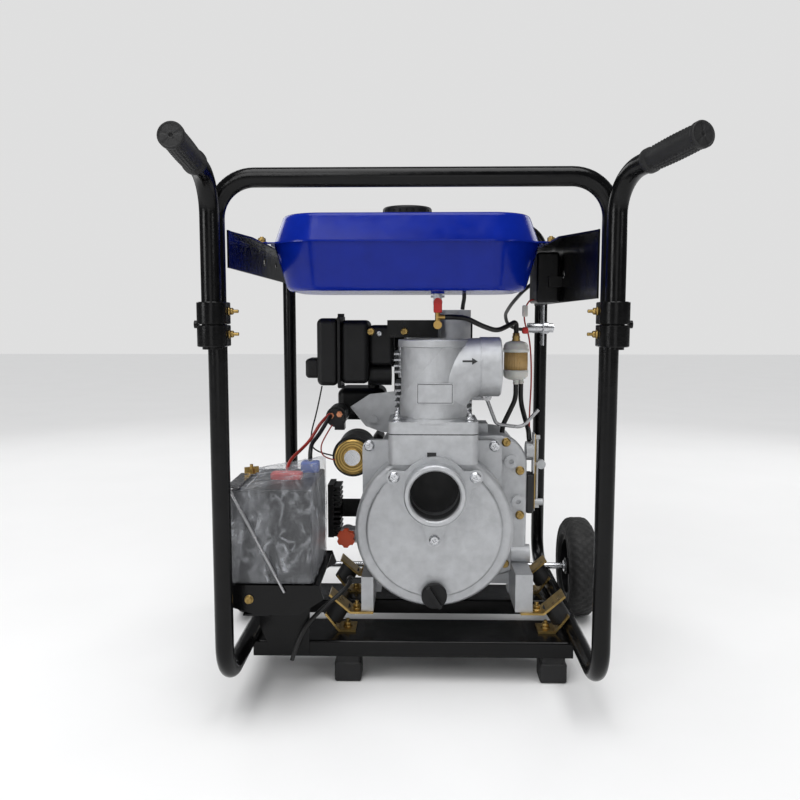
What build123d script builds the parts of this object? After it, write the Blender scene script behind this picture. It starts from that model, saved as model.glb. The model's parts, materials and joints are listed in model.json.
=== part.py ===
"""Engine-driven trash pump on a tube frame: two handles, two wheels, battery start.

Frame: +X to the right seen from the suction side, +Y towards the rear, +Z up, millimetres.
The origin is on the ground, below the middle of the whole machine's box.
"""

import os
from math import atan2, cos, degrees, hypot, radians, sin

from build123d import *

# ---------------------------------------------------------------- driving dimensions
SHIFT_Y = 100.6            # moves everything so that the box is centred on the origin
TUBE_OD = 30.0             # frame and handle tube
TUBE_WALL = 2.0
TUBE_R = TUBE_OD / 2
HOOP_X = 305.0             # hoop legs, left and right of the middle plane
HOOP_Y = 350.0             # hoops, in front of and behind the middle plane
HOOP_TOP = 896.0           # axis of the hoops' top bars
RAIL_Z = 90.0              # axis of the bottom rails
BEND_R = 62.0              # bend radius of the frame tube
SHEET = 3.0                # pressed steel plate

CHANNEL_TOP = 81.0
CHANNEL_H = 30.0
FRONT_CHANNEL_Y = (-160.0, -45.0)
REAR_CHANNEL_Y = (63.0, 170.0)
CHANNEL_X = HOOP_X - 6.0      # ends cut to the rails they are welded to
FOOT_X = (-122.0, 264.0)
FOOT_SIDE = 50.0
FOOT_HEIGHT = 38.0         # wide lower part of a foot

WHEEL_R = 112.0
WHEEL_X = 376.0
WHEEL_Y = 210.0
WHEEL_W = 64.0
RIM_R = 68.0
AXLE_R = 7.0
RUNNING_GAP = 0.05         # radial play of a shaft in its bore

STEM_Y = -HOOP_Y - 32.0    # handle stems stand in front of the hoop legs
STEM_LOW = 634.0
STEM_BEND_Z = 836.0
STEM_BEND_R = 61.0
HANDLE_RISE = 7.3          # degrees that the grip rises towards its end
HANDLE_STRAIGHT = 18.0
GRIP_LENGTH = 112.0
GRIP_R = 18.0
HANDLE_TURN = {"left": 0.0, "right": 20.9}   # outward turn of each handle, degrees
CLAMP_Z = (638.0, 672.0, 707.0)
CLAMP_R = 22.5
STEM_GAP = 0.05

TANK_X = -14.0
TANK_Y = 15.0
TANK_W = 515.0             # over the seam flange
TANK_D = 340.0
TANK_SEAM_Z = 820.0
TANK_BOTTOM_Z = 732.0
TANK_TOP_Z = 873.0
TANK_CORNER = 100.0
TANK_WALL = 1.5
SEAM_SHEET = 1.5           # each half of the seam flange
SEAM_LIP = 6.0             # flange outside the skin
COCK_X, COCK_Y = 46.0, -60.0
COCK_PIVOT_Z = 712.0
CAP_X, CAP_Y = -13.0, 0.0
CAP_R = 48.0
CAP_TOP_Z = 897.0

CRANK_X, CRANK_Z = 40.0, 287.0      # crank and impeller axis, along Y
PUMP_R = 149.0
PUMP_FRONT = -132.0                 # cover's rim face
PUMP_JOINT = -118.0                 # cover to casing
PUMP_BACK = -30.0                   # casing to engine
SUCTION_Z = 363.0
PORT_R = 56.5                       # 4 inch pipe thread, outside
PORT_BORE_R = 46.0
SUCTION_TIP = -190.0
NECK_X = 37.5
NECK_W = 167.0
NECK_Y = -77.0
NECK_D = 128.0
NECK_LOW = 412.0                    # bottom of the neck, just above the suction bore
NECK_TOP = 467.0
FLANGE_TOP = 491.0
TOWER_X = 38.0
TOWER_R = 64.0
TOWER_TOP = 632.0
OUTLET_Z = 590.0
OUTLET_TIP_X = 165.0
COLLAR_X = 126.0
CREASE = [(-3.0, 560.0), (61.5, 634.6)]   # edge where the bend stands proud of the tower, in X and Z

BLOCK_BACK = 165.0
CASE_X = (-78.0, 226.0)
CASE_Z = (165.0, 452.0)
CASE_CORNER = 60.0
CYLINDER_Y = 85.0
SHAFT_R = 12.0
FLYWHEEL_Y = (176.0, 204.0)
FLYWHEEL_R = 120.0
MOUNT_MID_X = 65.0
MOUNT_Y = {"front": -95.0, "rear": 130.0}
MOUNT_W = 44.0
MOUNT_SHEET = 4.0
ENGINE_FOOT_Z = 121.0

BATTERY_X = (-303.0, -167.0)
BATTERY_Y = (-300.0, -108.0)
BATTERY_Z = (237.0, 398.0)

DRAIN = (CRANK_X, 166.0)
ROPE = (Vector(-75, 260, 396.8), Vector(-22, 0, 16).normalized())
FLAP_PIN_Z = SUCTION_Z + 58
FLAP_PIN_Y = PUMP_JOINT + 9
OIL_CAP = (-134.0, 245.0)
STARTER = (-122.0, 405.0)
SOLENOID = (-156.0, 484.0)
LEVER_PIVOT = (147.0, -4.0, 526.0)
FILTER_X, FILTER_Y = 211.0, 60.0
CLIP = (-122.0, -92.0, 176.0)
LEAD_END = (-191.0, -137.0, 416.0)
CABLE_ROUTE = [(-122, -98, 176), (-122, -122, 175), (-134, -142, 168), (-156, -160, 154), (-180, -176, 136),
               (-200, -188, 113), (-212, -196, 86), (-220, -200, 60)]

parts = {}


# ---------------------------------------------------------------- helpers
def box(x, y, z):
    """Box from three (low, high) pairs."""
    size = [hi - lo for lo, hi in (x, y, z)]
    mid = [(hi + lo) / 2 for lo, hi in (x, y, z)]
    return Pos(*mid) * Box(*size)


def rod(start, end, radius):
    """Solid cylinder between two points."""
    a, b = Vector(*start), Vector(*end)
    plane = Plane(origin=a, z_dir=b - a)
    return extrude(plane * Circle(radius), (b - a).length)


def ring(start, end, outer, inner):
    """Tube between two points."""
    return rod(start, end, outer) - rod(start, end, inner)


def bar(points, bends, outer, inner=0.0):
    """Round bar or tube along straight runs joined by tangent arcs."""
    path = FilletPolyline(*points, radius=bends)
    plane = Plane(origin=path @ 0, z_dir=path % 0)
    solid = sweep(plane * Circle(outer), path=path)
    if inner:
        solid -= sweep(plane * Circle(inner), path=path)
    return solid


def limp(points, radius):
    """Cable or hose: each bend is as large as its two runs allow."""
    bends = []
    for a, b, c in zip(points, points[1:], points[2:]):
        one, two = Vector(*b) - Vector(*a), Vector(*c) - Vector(*b)
        turn = radians(one.get_angle(two))
        bends.append(0.45 * min(one.length, two.length) / max(sin(turn / 2) / cos(turn / 2), 1e-3))
    print("bend radii", [round(b) for b in bends])
    return bar(points, bends, radius)


def plate_xz(outline, y):
    """Plate from a sketch drawn in XZ, between two Y values."""
    return Pos(0, y[0], 0) * extrude(Plane.XZ * outline, y[1] - y[0], dir=(0, 1, 0))


def disc_y(x, z, radius, y):
    """Cylinder along Y."""
    return rod((x, y[0], z), (x, y[1], z), radius)


def hex_y(x, z, flats, y):
    """Hexagon prism along Y."""
    outline = Pos(x, z) * RegularPolygon(flats / 2, 6, major_radius=False)
    return plate_xz(outline, y)


def flange_bolt_y(x, z, y, radius):
    """Hexagon head on a washer face, pointing to -Y, seated at y."""
    return disc_y(x, z, radius, (y - 2, y)) + hex_y(x, z, radius * 1.55, (y - 7, y - 2))


def nut_z(x, y, z, flats=13.0, height=9.0, stud=5.0):
    """Nut on a stud, standing up from z."""
    nut = Pos(x, y, z) * extrude(RegularPolygon(flats / 2, 6, major_radius=False), height)
    washer = rod((x, y, z), (x, y, z + 2), flats * 0.75)
    return nut + washer + rod((x, y, z), (x, y, z + height + stud), flats * 0.3)


def rounded(solid, radius, picker=lambda e: e):
    return fillet(picker(solid.edges()), radius)


def save(name, shape):
    parts[name] = shape


# ---------------------------------------------------------------- frame
def hoop(side):
    """Hoop with its legs bent back into half of each bottom rail; side -1 is the front."""
    y = side * HOOP_Y
    points = [(-HOOP_X, 0, RAIL_Z), (-HOOP_X, y, RAIL_Z), (-HOOP_X, y, HOOP_TOP),
              (HOOP_X, y, HOOP_TOP), (HOOP_X, y, RAIL_Z), (HOOP_X, 0, RAIL_Z)]
    return bar(points, BEND_R, TUBE_R, TUBE_R - TUBE_WALL)


def channel(y):
    """Cross member pressed to a U, open below."""
    outer = box((-CHANNEL_X, CHANNEL_X), y, (CHANNEL_TOP - CHANNEL_H, CHANNEL_TOP))
    outer = rounded(outer, 5, lambda e: e.filter_by(Axis.X).group_by(Axis.Z)[-1])
    inner = box((-CHANNEL_X, CHANNEL_X), (y[0] + SHEET, y[1] - SHEET),
                (CHANNEL_TOP - CHANNEL_H, CHANNEL_TOP - SHEET))
    rails = [rod((x, y[0] - 1, RAIL_Z), (x, y[1] + 1, RAIL_Z), TUBE_R) for x in (-HOOP_X, HOOP_X)]
    return outer - inner - rails


def foot(x):
    """Rubber block with a waist, inside the front channel and standing on the ground."""
    y = FRONT_CHANNEL_Y[0] + SHEET + FOOT_SIDE / 2
    block = Pos(x, y, 0) * extrude(RectangleRounded(FOOT_SIDE, FOOT_SIDE, 4), FOOT_HEIGHT)
    block = chamfer(block.edges().group_by(Axis.Z)[0] + block.edges().group_by(Axis.Z)[-1], 3)
    waist = Pos(x, y, FOOT_HEIGHT - 1) * extrude(RectangleRounded(FOOT_SIDE - 6, FOOT_SIDE - 6, 4),
                                                 CHANNEL_TOP - SHEET - FOOT_HEIGHT + 1)
    return block + waist


def frame_nodes():
    save("front_hoop", hoop(-1))
    save("rear_hoop", hoop(1))
    save("cross_channels", channel(FRONT_CHANNEL_Y) + channel(REAR_CHANNEL_Y))
    save("rubber_feet", foot(FOOT_X[0]) + foot(FOOT_X[1]))


def wheel_nodes():
    reach = WHEEL_X + WHEEL_W / 2
    axle_z = WHEEL_R
    axle = rod((-reach - 1, WHEEL_Y, axle_z), (reach + 1, WHEEL_Y, axle_z), AXLE_R)
    for side in (-1, 1):
        inner = side * (WHEEL_X - 26)
        collar_end = side * (WHEEL_X - 30)
        axle += rod((collar_end, WHEEL_Y, axle_z), (inner - side * 0.4, WHEEL_Y, axle_z), 13)
        pin_x = side * (reach - 2.5)
        axle += rod((pin_x, WHEEL_Y - 11, axle_z), (pin_x, WHEEL_Y + 11, axle_z), 2)
    save("wheel_axle", axle)
    for name, side in (("left", -1), ("right", 1)):
        x = side * WHEEL_X
        save(name + "_rim", Pos(x, WHEEL_Y, axle_z) * Rot(0, 90, 0) * rim())
        save(name + "_tyre", Pos(x, WHEEL_Y, axle_z) * Rot(0, 90, 0) * tyre())


def rim():
    """Moulded wheel centre: hub, web with five ribs each side, and seat for the tyre."""
    hub = Cylinder(19, 52)
    web = Cylinder(RIM_R - 6, 8)
    seat = Cylinder(RIM_R, 50) - Cylinder(RIM_R - 7, 50)
    body = hub + web + seat
    for k in range(5):
        body += Rot(0, 0, 72 * k) * Pos((RIM_R + 12) / 2, 0, 0) * Box(RIM_R - 18, 7, 36)
    return body - Cylinder(AXLE_R + RUNNING_GAP, 60)


def tyre():
    """Solid rubber tyre with a crowned tread and rounded shoulders."""
    half = WHEEL_W / 2
    bead = 25.0
    half_section = [(RIM_R, bead), (RIM_R + 6, half), (WHEEL_R - 14, half), (WHEEL_R - 2, half - 13)]
    other_half = [(r, -z) for r, z in reversed(half_section)]
    profile = make_face(Polyline(*half_section, (WHEEL_R, 0), *other_half, close=True))
    return revolve(Plane.XZ * profile, Axis.Z)


# ---------------------------------------------------------------- handles
def handle_frame(side, turn):
    """Unit vector that the handle points along, seen from above."""
    a = radians(turn)
    return Vector(side * sin(a), -cos(a), 0)


def handle_points(side, turn):
    rise = radians(HANDLE_RISE)
    heading = handle_frame(side, turn)
    corner_lift = STEM_BEND_R * (1 - sin(rise)) / cos(rise)
    corner = Vector(side * HOOP_X, STEM_Y, STEM_BEND_Z + corner_lift)
    along = heading * cos(rise) + Vector(0, 0, 1) * sin(rise)
    grip_start = corner + along * (corner_lift + HANDLE_STRAIGHT)
    return corner, along, grip_start


def grip(start, along):
    """Moulded grip: tapered collar, barrel with rows of small nubs, flat end."""
    plane = Plane(origin=start, z_dir=along)
    barrel = Cylinder(GRIP_R, GRIP_LENGTH - 14, align=(Align.CENTER, Align.CENTER, Align.MIN))
    body = Pos(0, 0, 14) * barrel
    body = fillet(body.edges().group_by(Axis.Z)[-1], 3)
    body += Pos(0, 0, 7) * Cone(GRIP_R + 2.5, GRIP_R, 14)
    body -= Cylinder(TUBE_R, GRIP_LENGTH - 6, align=(Align.CENTER, Align.CENTER, Align.MIN))
    return plane * body


def handle_nodes():
    for name, side in (("left", -1), ("right", 1)):
        corner, along, start = handle_points(side, HANDLE_TURN[name])
        foot_point = Vector(side * HOOP_X, STEM_Y, STEM_LOW)
        end = start + along * (GRIP_LENGTH - 6)
        tube = bar([tuple(foot_point), tuple(corner), tuple(end)], STEM_BEND_R, TUBE_R, TUBE_R - TUBE_WALL)
        save(name + "_handle_tube", tube)
        save(name + "_grip", grip(start, along))


def clamp(side):
    """Two stacked pressed sleeves that hold the stem against the hoop leg."""
    x = side * HOOP_X
    body = None
    for low, high in zip(CLAMP_Z, CLAMP_Z[1:]):
        height = high - low - 1.0
        outline = Pos(x, STEM_Y) * Circle(CLAMP_R) + Pos(x, -HOOP_Y) * Circle(TUBE_R + 4)
        outline += Pos(x, (STEM_Y - HOOP_Y) / 2) * Rectangle(2 * CLAMP_R - 3, 34)
        sleeve = Pos(0, 0, low) * extrude(outline, height)
        sleeve = chamfer(sleeve.edges().group_by(Axis.Z)[-1] + sleeve.edges().group_by(Axis.Z)[0], 1.2)
        sleeve -= rod((x, STEM_Y, low - 1), (x, STEM_Y, high + 1), TUBE_R + STEM_GAP)
        sleeve -= rod((x, -HOOP_Y, low - 1), (x, -HOOP_Y, high + 1), TUBE_R)
        body = sleeve if body is None else body + sleeve
    z = CLAMP_Z[1]
    return body + rod((x + side * (CLAMP_R - 2), STEM_Y, z), (x + side * (CLAMP_R + 4), STEM_Y, z), 6)


# ---------------------------------------------------------------- tank
def tank_outline(inset):
    return Pos(TANK_X, TANK_Y) * RectangleRounded(TANK_W - 2 * inset, TANK_D - 2 * inset, TANK_CORNER - inset)


def tank_half(inset, upper):
    """Solid of one pressed half; inset 0 is the outer skin."""
    skin = SEAM_LIP + inset
    if upper:
        rise = TANK_TOP_Z - inset - TANK_SEAM_Z
        half = Pos(0, 0, TANK_SEAM_Z) * extrude(tank_outline(skin), rise, taper=20)
        return fillet(half.edges().group_by(Axis.Z)[-1], 10 - inset)
    depth = TANK_SEAM_Z - TANK_BOTTOM_Z - inset
    half = Pos(0, 0, TANK_SEAM_Z) * extrude(tank_outline(skin), depth, dir=(0, 0, -1), taper=16)
    return fillet(half.edges().group_by(Axis.Z)[0], 14 - inset)


def tank_nodes():
    neck = (CAP_X, CAP_Y)
    lip = tank_outline(0) - tank_outline(SEAM_LIP + 2)
    upper = tank_half(0, True) - tank_half(TANK_WALL, True)
    upper += Pos(0, 0, TANK_SEAM_Z) * extrude(lip, SEAM_SHEET)
    upper += rod((*neck, TANK_TOP_Z - 4), (*neck, CAP_TOP_Z - 8), 34)
    upper -= rod((*neck, TANK_TOP_Z - 30), (*neck, TANK_TOP_Z + 20), 29)
    save("tank_upper_shell", upper)
    lower = tank_half(0, False) - tank_half(TANK_WALL, False)
    lower += Pos(0, 0, TANK_SEAM_Z - SEAM_SHEET) * extrude(lip, SEAM_SHEET)
    for x, y in tank_bolt_spots():
        inward = 1 if x < TANK_X else -1
        ends = sorted((x - inward * 9, x + inward * 50))
        lower += box(ends, (y - 12, y + 12), (TANK_SEAM_Z - SEAM_SHEET, TANK_SEAM_Z)) - tank_half(0, False)
    lower += rod((COCK_X, COCK_Y, TANK_BOTTOM_Z - 4), (COCK_X, COCK_Y, TANK_BOTTOM_Z + 1), 13)
    lower -= rod((COCK_X, COCK_Y, TANK_BOTTOM_Z - 12), (COCK_X, COCK_Y, TANK_BOTTOM_Z + 5), 5)
    save("tank_lower_shell", lower)
    cap = rod((*neck, TANK_TOP_Z + 1), (*neck, CAP_TOP_Z), CAP_R)
    cap = fillet(cap.edges().group_by(Axis.Z)[-1], 5)
    for k in range(24):
        a = radians(15 * k)
        x, y = neck[0] + CAP_R * cos(a), neck[1] + CAP_R * sin(a)
        cap -= rod((x, y, CAP_TOP_Z - 30), (x, y, CAP_TOP_Z - 7), 2.2)
    cap -= rod((*neck, CAP_TOP_Z - 30), (*neck, CAP_TOP_Z - 6), 35)
    cap += box((neck[0] - 34, neck[0] + 34), (neck[1] - 6, neck[1] + 6), (CAP_TOP_Z - 4, CAP_TOP_Z))
    save("fuel_cap", cap)


def tank_bolt_spots():
    """Bolts through the seam tabs, onto the shelves of the side brackets."""
    return [(TANK_X + sx * (TANK_W / 2 + 8), TANK_Y + sy * 125) for sx in (-1, 1) for sy in (-1, 1)]


def tank_bracket(side, low):
    """Bent plate from the front leg to the rear leg: a web and a shelf with cut-back ends."""
    x = side * (HOOP_X - TUBE_R)
    shelf_z = TANK_SEAM_Z - SEAM_SHEET
    reach = HOOP_Y - TUBE_R + 3
    web = box(sorted((x, x - side * SHEET)), (-reach, reach), (low, shelf_z))
    shelf_in = side * (TANK_W / 2 + side * TANK_X + 1)
    inner_reach = reach - 110
    outline = Polyline((x, -reach), (x, reach), (shelf_in, inner_reach), (shelf_in, -inner_reach), close=True)
    shelf = Pos(0, 0, shelf_z - SHEET) * extrude(make_face(outline), SHEET)
    bracket = web + shelf
    for y in (-45.0, 75.0):
        bracket -= rod((x - side * 10, y, (low + shelf_z) / 2), (x + side * 10, y, (low + shelf_z) / 2), 9)
    for y in (-HOOP_Y, HOOP_Y):
        bracket -= rod((side * HOOP_X, y, low), (side * HOOP_X, y, shelf_z), TUBE_R)
    return bracket - hoop(-1) - hoop(1)


# ---------------------------------------------------------------- pump
def casing_outline():
    """Back flange: round body with two square shoulders that carry the upper bolts."""
    shoulders = Pos(36, 367) * RectangleRounded(268, 162, 16)
    return Pos(CRANK_X, CRANK_Z) * Circle(PUMP_R) + shoulders


def neck_outline(inset=0.0):
    return Pos(NECK_X, NECK_Y) * RectangleRounded(NECK_W - 2 * inset, NECK_D - 2 * inset, 13)


def pump_nodes():
    cavity_r = PUMP_R - 9
    casing = disc_y(CRANK_X, CRANK_Z, PUMP_R, (PUMP_JOINT, PUMP_BACK))
    casing += plate_xz(casing_outline(), (PUMP_BACK - 46, PUMP_BACK - 30))
    casing += Pos(0, 0, NECK_LOW) * extrude(neck_outline(), NECK_TOP - NECK_LOW)
    casing -= disc_y(CRANK_X, CRANK_Z, cavity_r, (PUMP_JOINT, PUMP_BACK - 12))
    casing -= box((NECK_X - 60, NECK_X + 60), (PUMP_JOINT, PUMP_BACK - 12), (CRANK_Z + 60, NECK_TOP + 5))
    casing -= disc_y(CRANK_X, CRANK_Z, 26, (PUMP_BACK - 20, PUMP_BACK + 1))
    casing -= plate_xz(case_outline(-1), (PUMP_BACK, 1))
    for side in (-1, 1):
        x = CRANK_X + side * 26
        casing += box((x - 5, x + 5), (PUMP_JOINT - 1, FLAP_PIN_Y + 6), (FLAP_PIN_Z - 6, FLAP_PIN_Z + 6))
    casing += rod((CRANK_X - 26, FLAP_PIN_Y, FLAP_PIN_Z), (CRANK_X + 26, FLAP_PIN_Y, FLAP_PIN_Z), 3)
    save("pump_casing", casing)

    cover = disc_y(CRANK_X, CRANK_Z, PUMP_R, (PUMP_FRONT, PUMP_JOINT))
    cover = fillet(cover.edges().group_by(Axis.Y)[0], 8)
    face = disc_y(CRANK_X, CRANK_Z, PUMP_R - 21, (PUMP_FRONT - 9, PUMP_FRONT + 2))
    cover += fillet(face.edges().group_by(Axis.Y)[0], 5)
    cover -= box((-200, 300), (PUMP_FRONT - 30, PUMP_JOINT + 1), (NECK_LOW, 700))
    cover -= disc_y(CRANK_X, SUCTION_Z, PORT_BORE_R, (PUMP_FRONT - 30, PUMP_JOINT + 1))
    drain_z = DRAIN[1]
    cover += disc_y(CRANK_X, drain_z, 13, (PUMP_FRONT - 14, PUMP_FRONT + 4))
    cover -= disc_y(CRANK_X, drain_z, 8 + RUNNING_GAP, (PUMP_FRONT - 16, PUMP_JOINT + 1))
    save("pump_cover", cover)

    face_y = PUMP_FRONT - 9
    flange = disc_y(CRANK_X, SUCTION_Z, PORT_R + 9, (face_y - 9, face_y))
    for x, z in suction_bolt_spots():
        flange += disc_y(x, z, 14, (face_y - 9, face_y))
        flange += lobe_y((CRANK_X, SUCTION_Z), (x, z), 40, 13, (face_y - 9, face_y))
    flange += disc_y(CRANK_X, SUCTION_Z, PORT_R, (SUCTION_TIP, face_y))
    flange -= disc_y(CRANK_X, SUCTION_Z, PORT_BORE_R, (SUCTION_TIP - 1, face_y + 1))
    lip = flange.edges().group_by(Axis.Y)[0]
    save("suction_flange", chamfer(lip, 2.5))

    flap_y = PUMP_JOINT + 0.4
    flap = disc_y(CRANK_X, SUCTION_Z, PORT_BORE_R + 4, (flap_y, flap_y + 5))
    flap += disc_y(CRANK_X, SUCTION_Z, 20, (flap_y + 5, flap_y + 8))
    flap += box((CRANK_X - 16, CRANK_X + 16), (flap_y, flap_y + 5), (SUCTION_Z + 40, FLAP_PIN_Z))
    knuckle = [(CRANK_X + side * 16, FLAP_PIN_Y, FLAP_PIN_Z) for side in (-1, 1)]
    flap += rod(*knuckle, 6.5)
    flap -= rod(*knuckle, 3 + RUNNING_GAP)
    save("suction_flap", flap)

    wheel = disc_y(CRANK_X, CRANK_Z, 84, (-52, -47)) + disc_y(CRANK_X, CRANK_Z, 22, (-76, -47))
    for k in range(3):
        blade = Pos(0, -76, 0) * extrude(Plane.XZ * blade_outline(120 * k), 25, dir=(0, 1, 0))
        wheel += blade
    wheel -= disc_y(CRANK_X, CRANK_Z, SHAFT_R, (-60, -40))
    save("impeller", wheel)

    seal = ring((CRANK_X, PUMP_BACK - 12, CRANK_Z), (CRANK_X, PUMP_BACK, CRANK_Z), 26, SHAFT_R + RUNNING_GAP)
    gaskets = Pos(0, 0, NECK_TOP) * extrude(neck_outline() - Pos(TOWER_X, NECK_Y) * Circle(52), 2)
    save("pump_seals", gaskets + seal)
    save("discharge_elbow", discharge_elbow())
    save("drain_plug", drain_plug())
    save("pump_bolts", pump_bolts())


def lobe_y(a, b, half_a, half_b, y):
    """Tapered plate between two points of the XZ plane, half_a wide each side at a and half_b at b."""
    along = Vector(b[0] - a[0], b[1] - a[1], 0).normalized()
    across = Vector(-along.Y, along.X, 0)
    start, end = Vector(*a, 0), Vector(*b, 0)
    corners = [start + across * half_a, end + across * half_b, end - across * half_b, start - across * half_a]
    return plate_xz(make_face(Polyline(*[(c.X, c.Y) for c in corners], close=True)), y)


def blade_outline(turn):
    """Curved vane of the open impeller, hub to rim."""
    inner, outer = 18.0, 82.0
    steps = 8
    front, back = [], []
    for k in range(steps + 1):
        r = inner + (outer - inner) * k / steps
        a = radians(turn + 100 * k / steps)
        half = degrees(3.5 / r)
        front.append((CRANK_X + r * cos(a + radians(half)), CRANK_Z + r * sin(a + radians(half))))
        back.append((CRANK_X + r * cos(a - radians(half)), CRANK_Z + r * sin(a - radians(half))))
    return make_face(Polyline(*(front + back[::-1]), close=True))


def suction_bolt_spots():
    return [(CRANK_X + 75, SUCTION_Z + 27), (CRANK_X - 75, SUCTION_Z + 27), (CRANK_X, SUCTION_Z - 91)]


def casing_bolt_spots():
    return [(-85.0, 437.0), (156.0, 437.0)]


def flange_bolt_spots():
    return [(NECK_X + sx * 68, NECK_Y + sy * 51) for sx in (-1, 1) for sy in (-1, 1)]


def discharge_elbow():
    """Square flange, upright tower with a closed rim, and a tapered bend out to the threaded collar."""
    base = NECK_TOP + 2
    body = Pos(0, 0, base) * extrude(neck_outline(), FLANGE_TOP - base)
    rim_band = rod((TOWER_X, NECK_Y, TOWER_TOP - 4), (TOWER_X, NECK_Y, TOWER_TOP + 10), TOWER_R + 3)
    body += tower(TOWER_R - 2.5) + chamfer(rim_band.edges(), 1.5)
    crease = [(CREASE[0][0] - 34, CREASE[0][1] - 39), *CREASE, (300, CREASE[1][1]), (300, FLANGE_TOP - 2),
              (-60, FLANGE_TOP - 2)]
    body += tower(TOWER_R) & plate_xz(make_face(Polyline(*crease, close=True)), (NECK_Y - 90, NECK_Y + 90))
    body += rod((TOWER_X, NECK_Y, FLANGE_TOP - 2), (TOWER_X, NECK_Y, FLANGE_TOP + 5), TOWER_R + 5)
    body += elbow_bend()
    collar = rod((COLLAR_X, NECK_Y, OUTLET_Z), (OUTLET_TIP_X, NECK_Y, OUTLET_Z), PORT_R)
    body += chamfer(collar.edges().group_by(Axis.X)[-1], 2.5)
    body -= rod((TOWER_X, NECK_Y, base - 1), (TOWER_X, NECK_Y, TOWER_TOP - 6), 52)
    body -= rod((TOWER_X, NECK_Y, OUTLET_Z), (OUTLET_TIP_X + 1, NECK_Y, OUTLET_Z), PORT_BORE_R)
    body -= rod((TOWER_X, NECK_Y, TOWER_TOP + 4), (TOWER_X, NECK_Y, TOWER_TOP + 11), TOWER_R - 5)
    label = box((NECK_X - 31, NECK_X + 36), (NECK_Y - TOWER_R - 2, NECK_Y - 30), (525, 563))
    body += label - rod((TOWER_X, NECK_Y, base - 1), (TOWER_X, NECK_Y, TOWER_TOP - 6), 54)
    return body


def tower(radius):
    return rod((TOWER_X, NECK_Y, FLANGE_TOP - 2), (TOWER_X, NECK_Y, TOWER_TOP), radius)


def elbow_bend():
    """Quarter turn from the tower to the collar; its radius tapers from the tower's to the collar's."""
    reach = COLLAR_X - TOWER_X + 2
    steps = 4
    sections = []
    for k in range(steps + 1):
        a = radians(90 * k / steps)
        centre = (TOWER_X + reach * (1 - cos(a)), NECK_Y, OUTLET_Z - reach * (1 - sin(a)))
        radius = TOWER_R - 2 + (PORT_R - 2 - TOWER_R + 2) * k / steps
        sections.append(Plane(origin=centre, x_dir=(0, 1, 0), z_dir=(sin(a), 0, cos(a))) * Circle(radius))
    return loft(sections)


def drain_plug():
    """Threaded plug with a round knob and a wing bar."""
    z = DRAIN[1]
    front = PUMP_FRONT - 14.4
    plug = disc_y(CRANK_X, z, 8, (front, PUMP_JOINT - 1)) + disc_y(CRANK_X, z, 24, (front - 10, front))
    plug = fillet(plug.edges().group_by(Axis.Y)[0], 3)
    wing = Pos(CRANK_X, front - 15, z) * Rot(0, -32, 0) * Box(7, 14, 44)
    return plug + wing


def pump_bolts():
    bolts = None
    for x, z in suction_bolt_spots():
        bolts = fuse(bolts, flange_bolt_y(x, z, PUMP_FRONT - 18, 10.5))
    for x, z in casing_bolt_spots():
        bolts = fuse(bolts, flange_bolt_y(x, z, PUMP_BACK - 46, 10.5))
    for x, y in flange_bolt_spots():
        bolts = fuse(bolts, nut_z(x, y, FLANGE_TOP, 13, 9, 6))
    return bolts


def fuse(whole, piece):
    return piece if whole is None else whole + piece


# ---------------------------------------------------------------- engine
def case_outline(inset=0.0):
    width, height = CASE_X[1] - CASE_X[0] - 2 * inset, CASE_Z[1] - CASE_Z[0] - 2 * inset
    centre = ((CASE_X[0] + CASE_X[1]) / 2, (CASE_Z[0] + CASE_Z[1]) / 2)
    return Pos(*centre) * RectangleRounded(width, height, CASE_CORNER - inset)


def engine_nodes():
    save("crankcase_cover", crankcase_cover())
    save("cylinder_block", cylinder_block())

    head = box((-32, 112), (CYLINDER_Y - 68, CYLINDER_Y + 62), (562, 628))
    head = rounded(head, 14, lambda e: e.filter_by(Axis.Z))
    for z in (572, 584, 596, 608):
        head += box((-40, 120), (CYLINDER_Y - 76, CYLINDER_Y + 62), (z, z + 4))
    head += rod((150, 30, 545), (110, 30, 585), 17)
    x, y, z = LEVER_PIVOT
    head += box((100, x + 9), (9.5, 12.8), (z - 9, 576))
    head += disc_y(x, z, 4, (y - 9, 12)) + disc_y(x, z, 8, (y + 6, 12))
    save("cylinder_head", head)
    rocker = box((-20, 100), (CYLINDER_Y - 55, CYLINDER_Y + 55), (628, 664))
    rocker = rounded(rocker, 10, lambda e: e.filter_by(Axis.Z))
    rocker += rod((83, 11, 628.5), (83, 11, 698), 31)
    save("rocker_cover", rocker)

    save("crankshaft", crankshaft())
    save("flywheel", flywheel())
    save("cooling_shroud", cooling_shroud())
    save("recoil_starter", recoil_starter())
    save("recoil_handle", recoil_handle())
    save("oil_cap", oil_cap())
    save("starter_motor", starter_motor())
    save("starter_solenoid", starter_solenoid())
    save("voltage_regulator", voltage_regulator())
    save("air_cleaner", air_cleaner())
    save("muffler", muffler())
    save("injection_pump", injection_pump())
    save("control_lever", control_lever())


def crankcase_cover():
    """Front cover of the crankcase, with two plugs and the oil strainer's cap."""
    cover = plate_xz(case_outline(), (-26, 0))
    cover = fillet(cover.edges().group_by(Axis.Y)[0], 6)
    cover += disc_y(CRANK_X, CRANK_Z, 60, (PUMP_BACK, -20))
    cover -= disc_y(CRANK_X, CRANK_Z, SHAFT_R + 14, (PUMP_BACK - 1, 1))
    for x, z in plug_spots():
        cover += disc_y(x, z, 13, (-32, -20))
        cover -= disc_y(x, z, 5, (-33, -27))
    cover += rod((CASE_X[1] - 30, -16, 208), (CASE_X[1] + 8, -16, 208), 19)
    return cover


def plug_spots():
    return [(194.0, 399.0), (209.0, 318.0)]


def cover_bolt_spots():
    return [(184.0, 437.0), (212.0, 380.0), (213.0, 290.0), (184.0, 190.0)]


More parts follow.
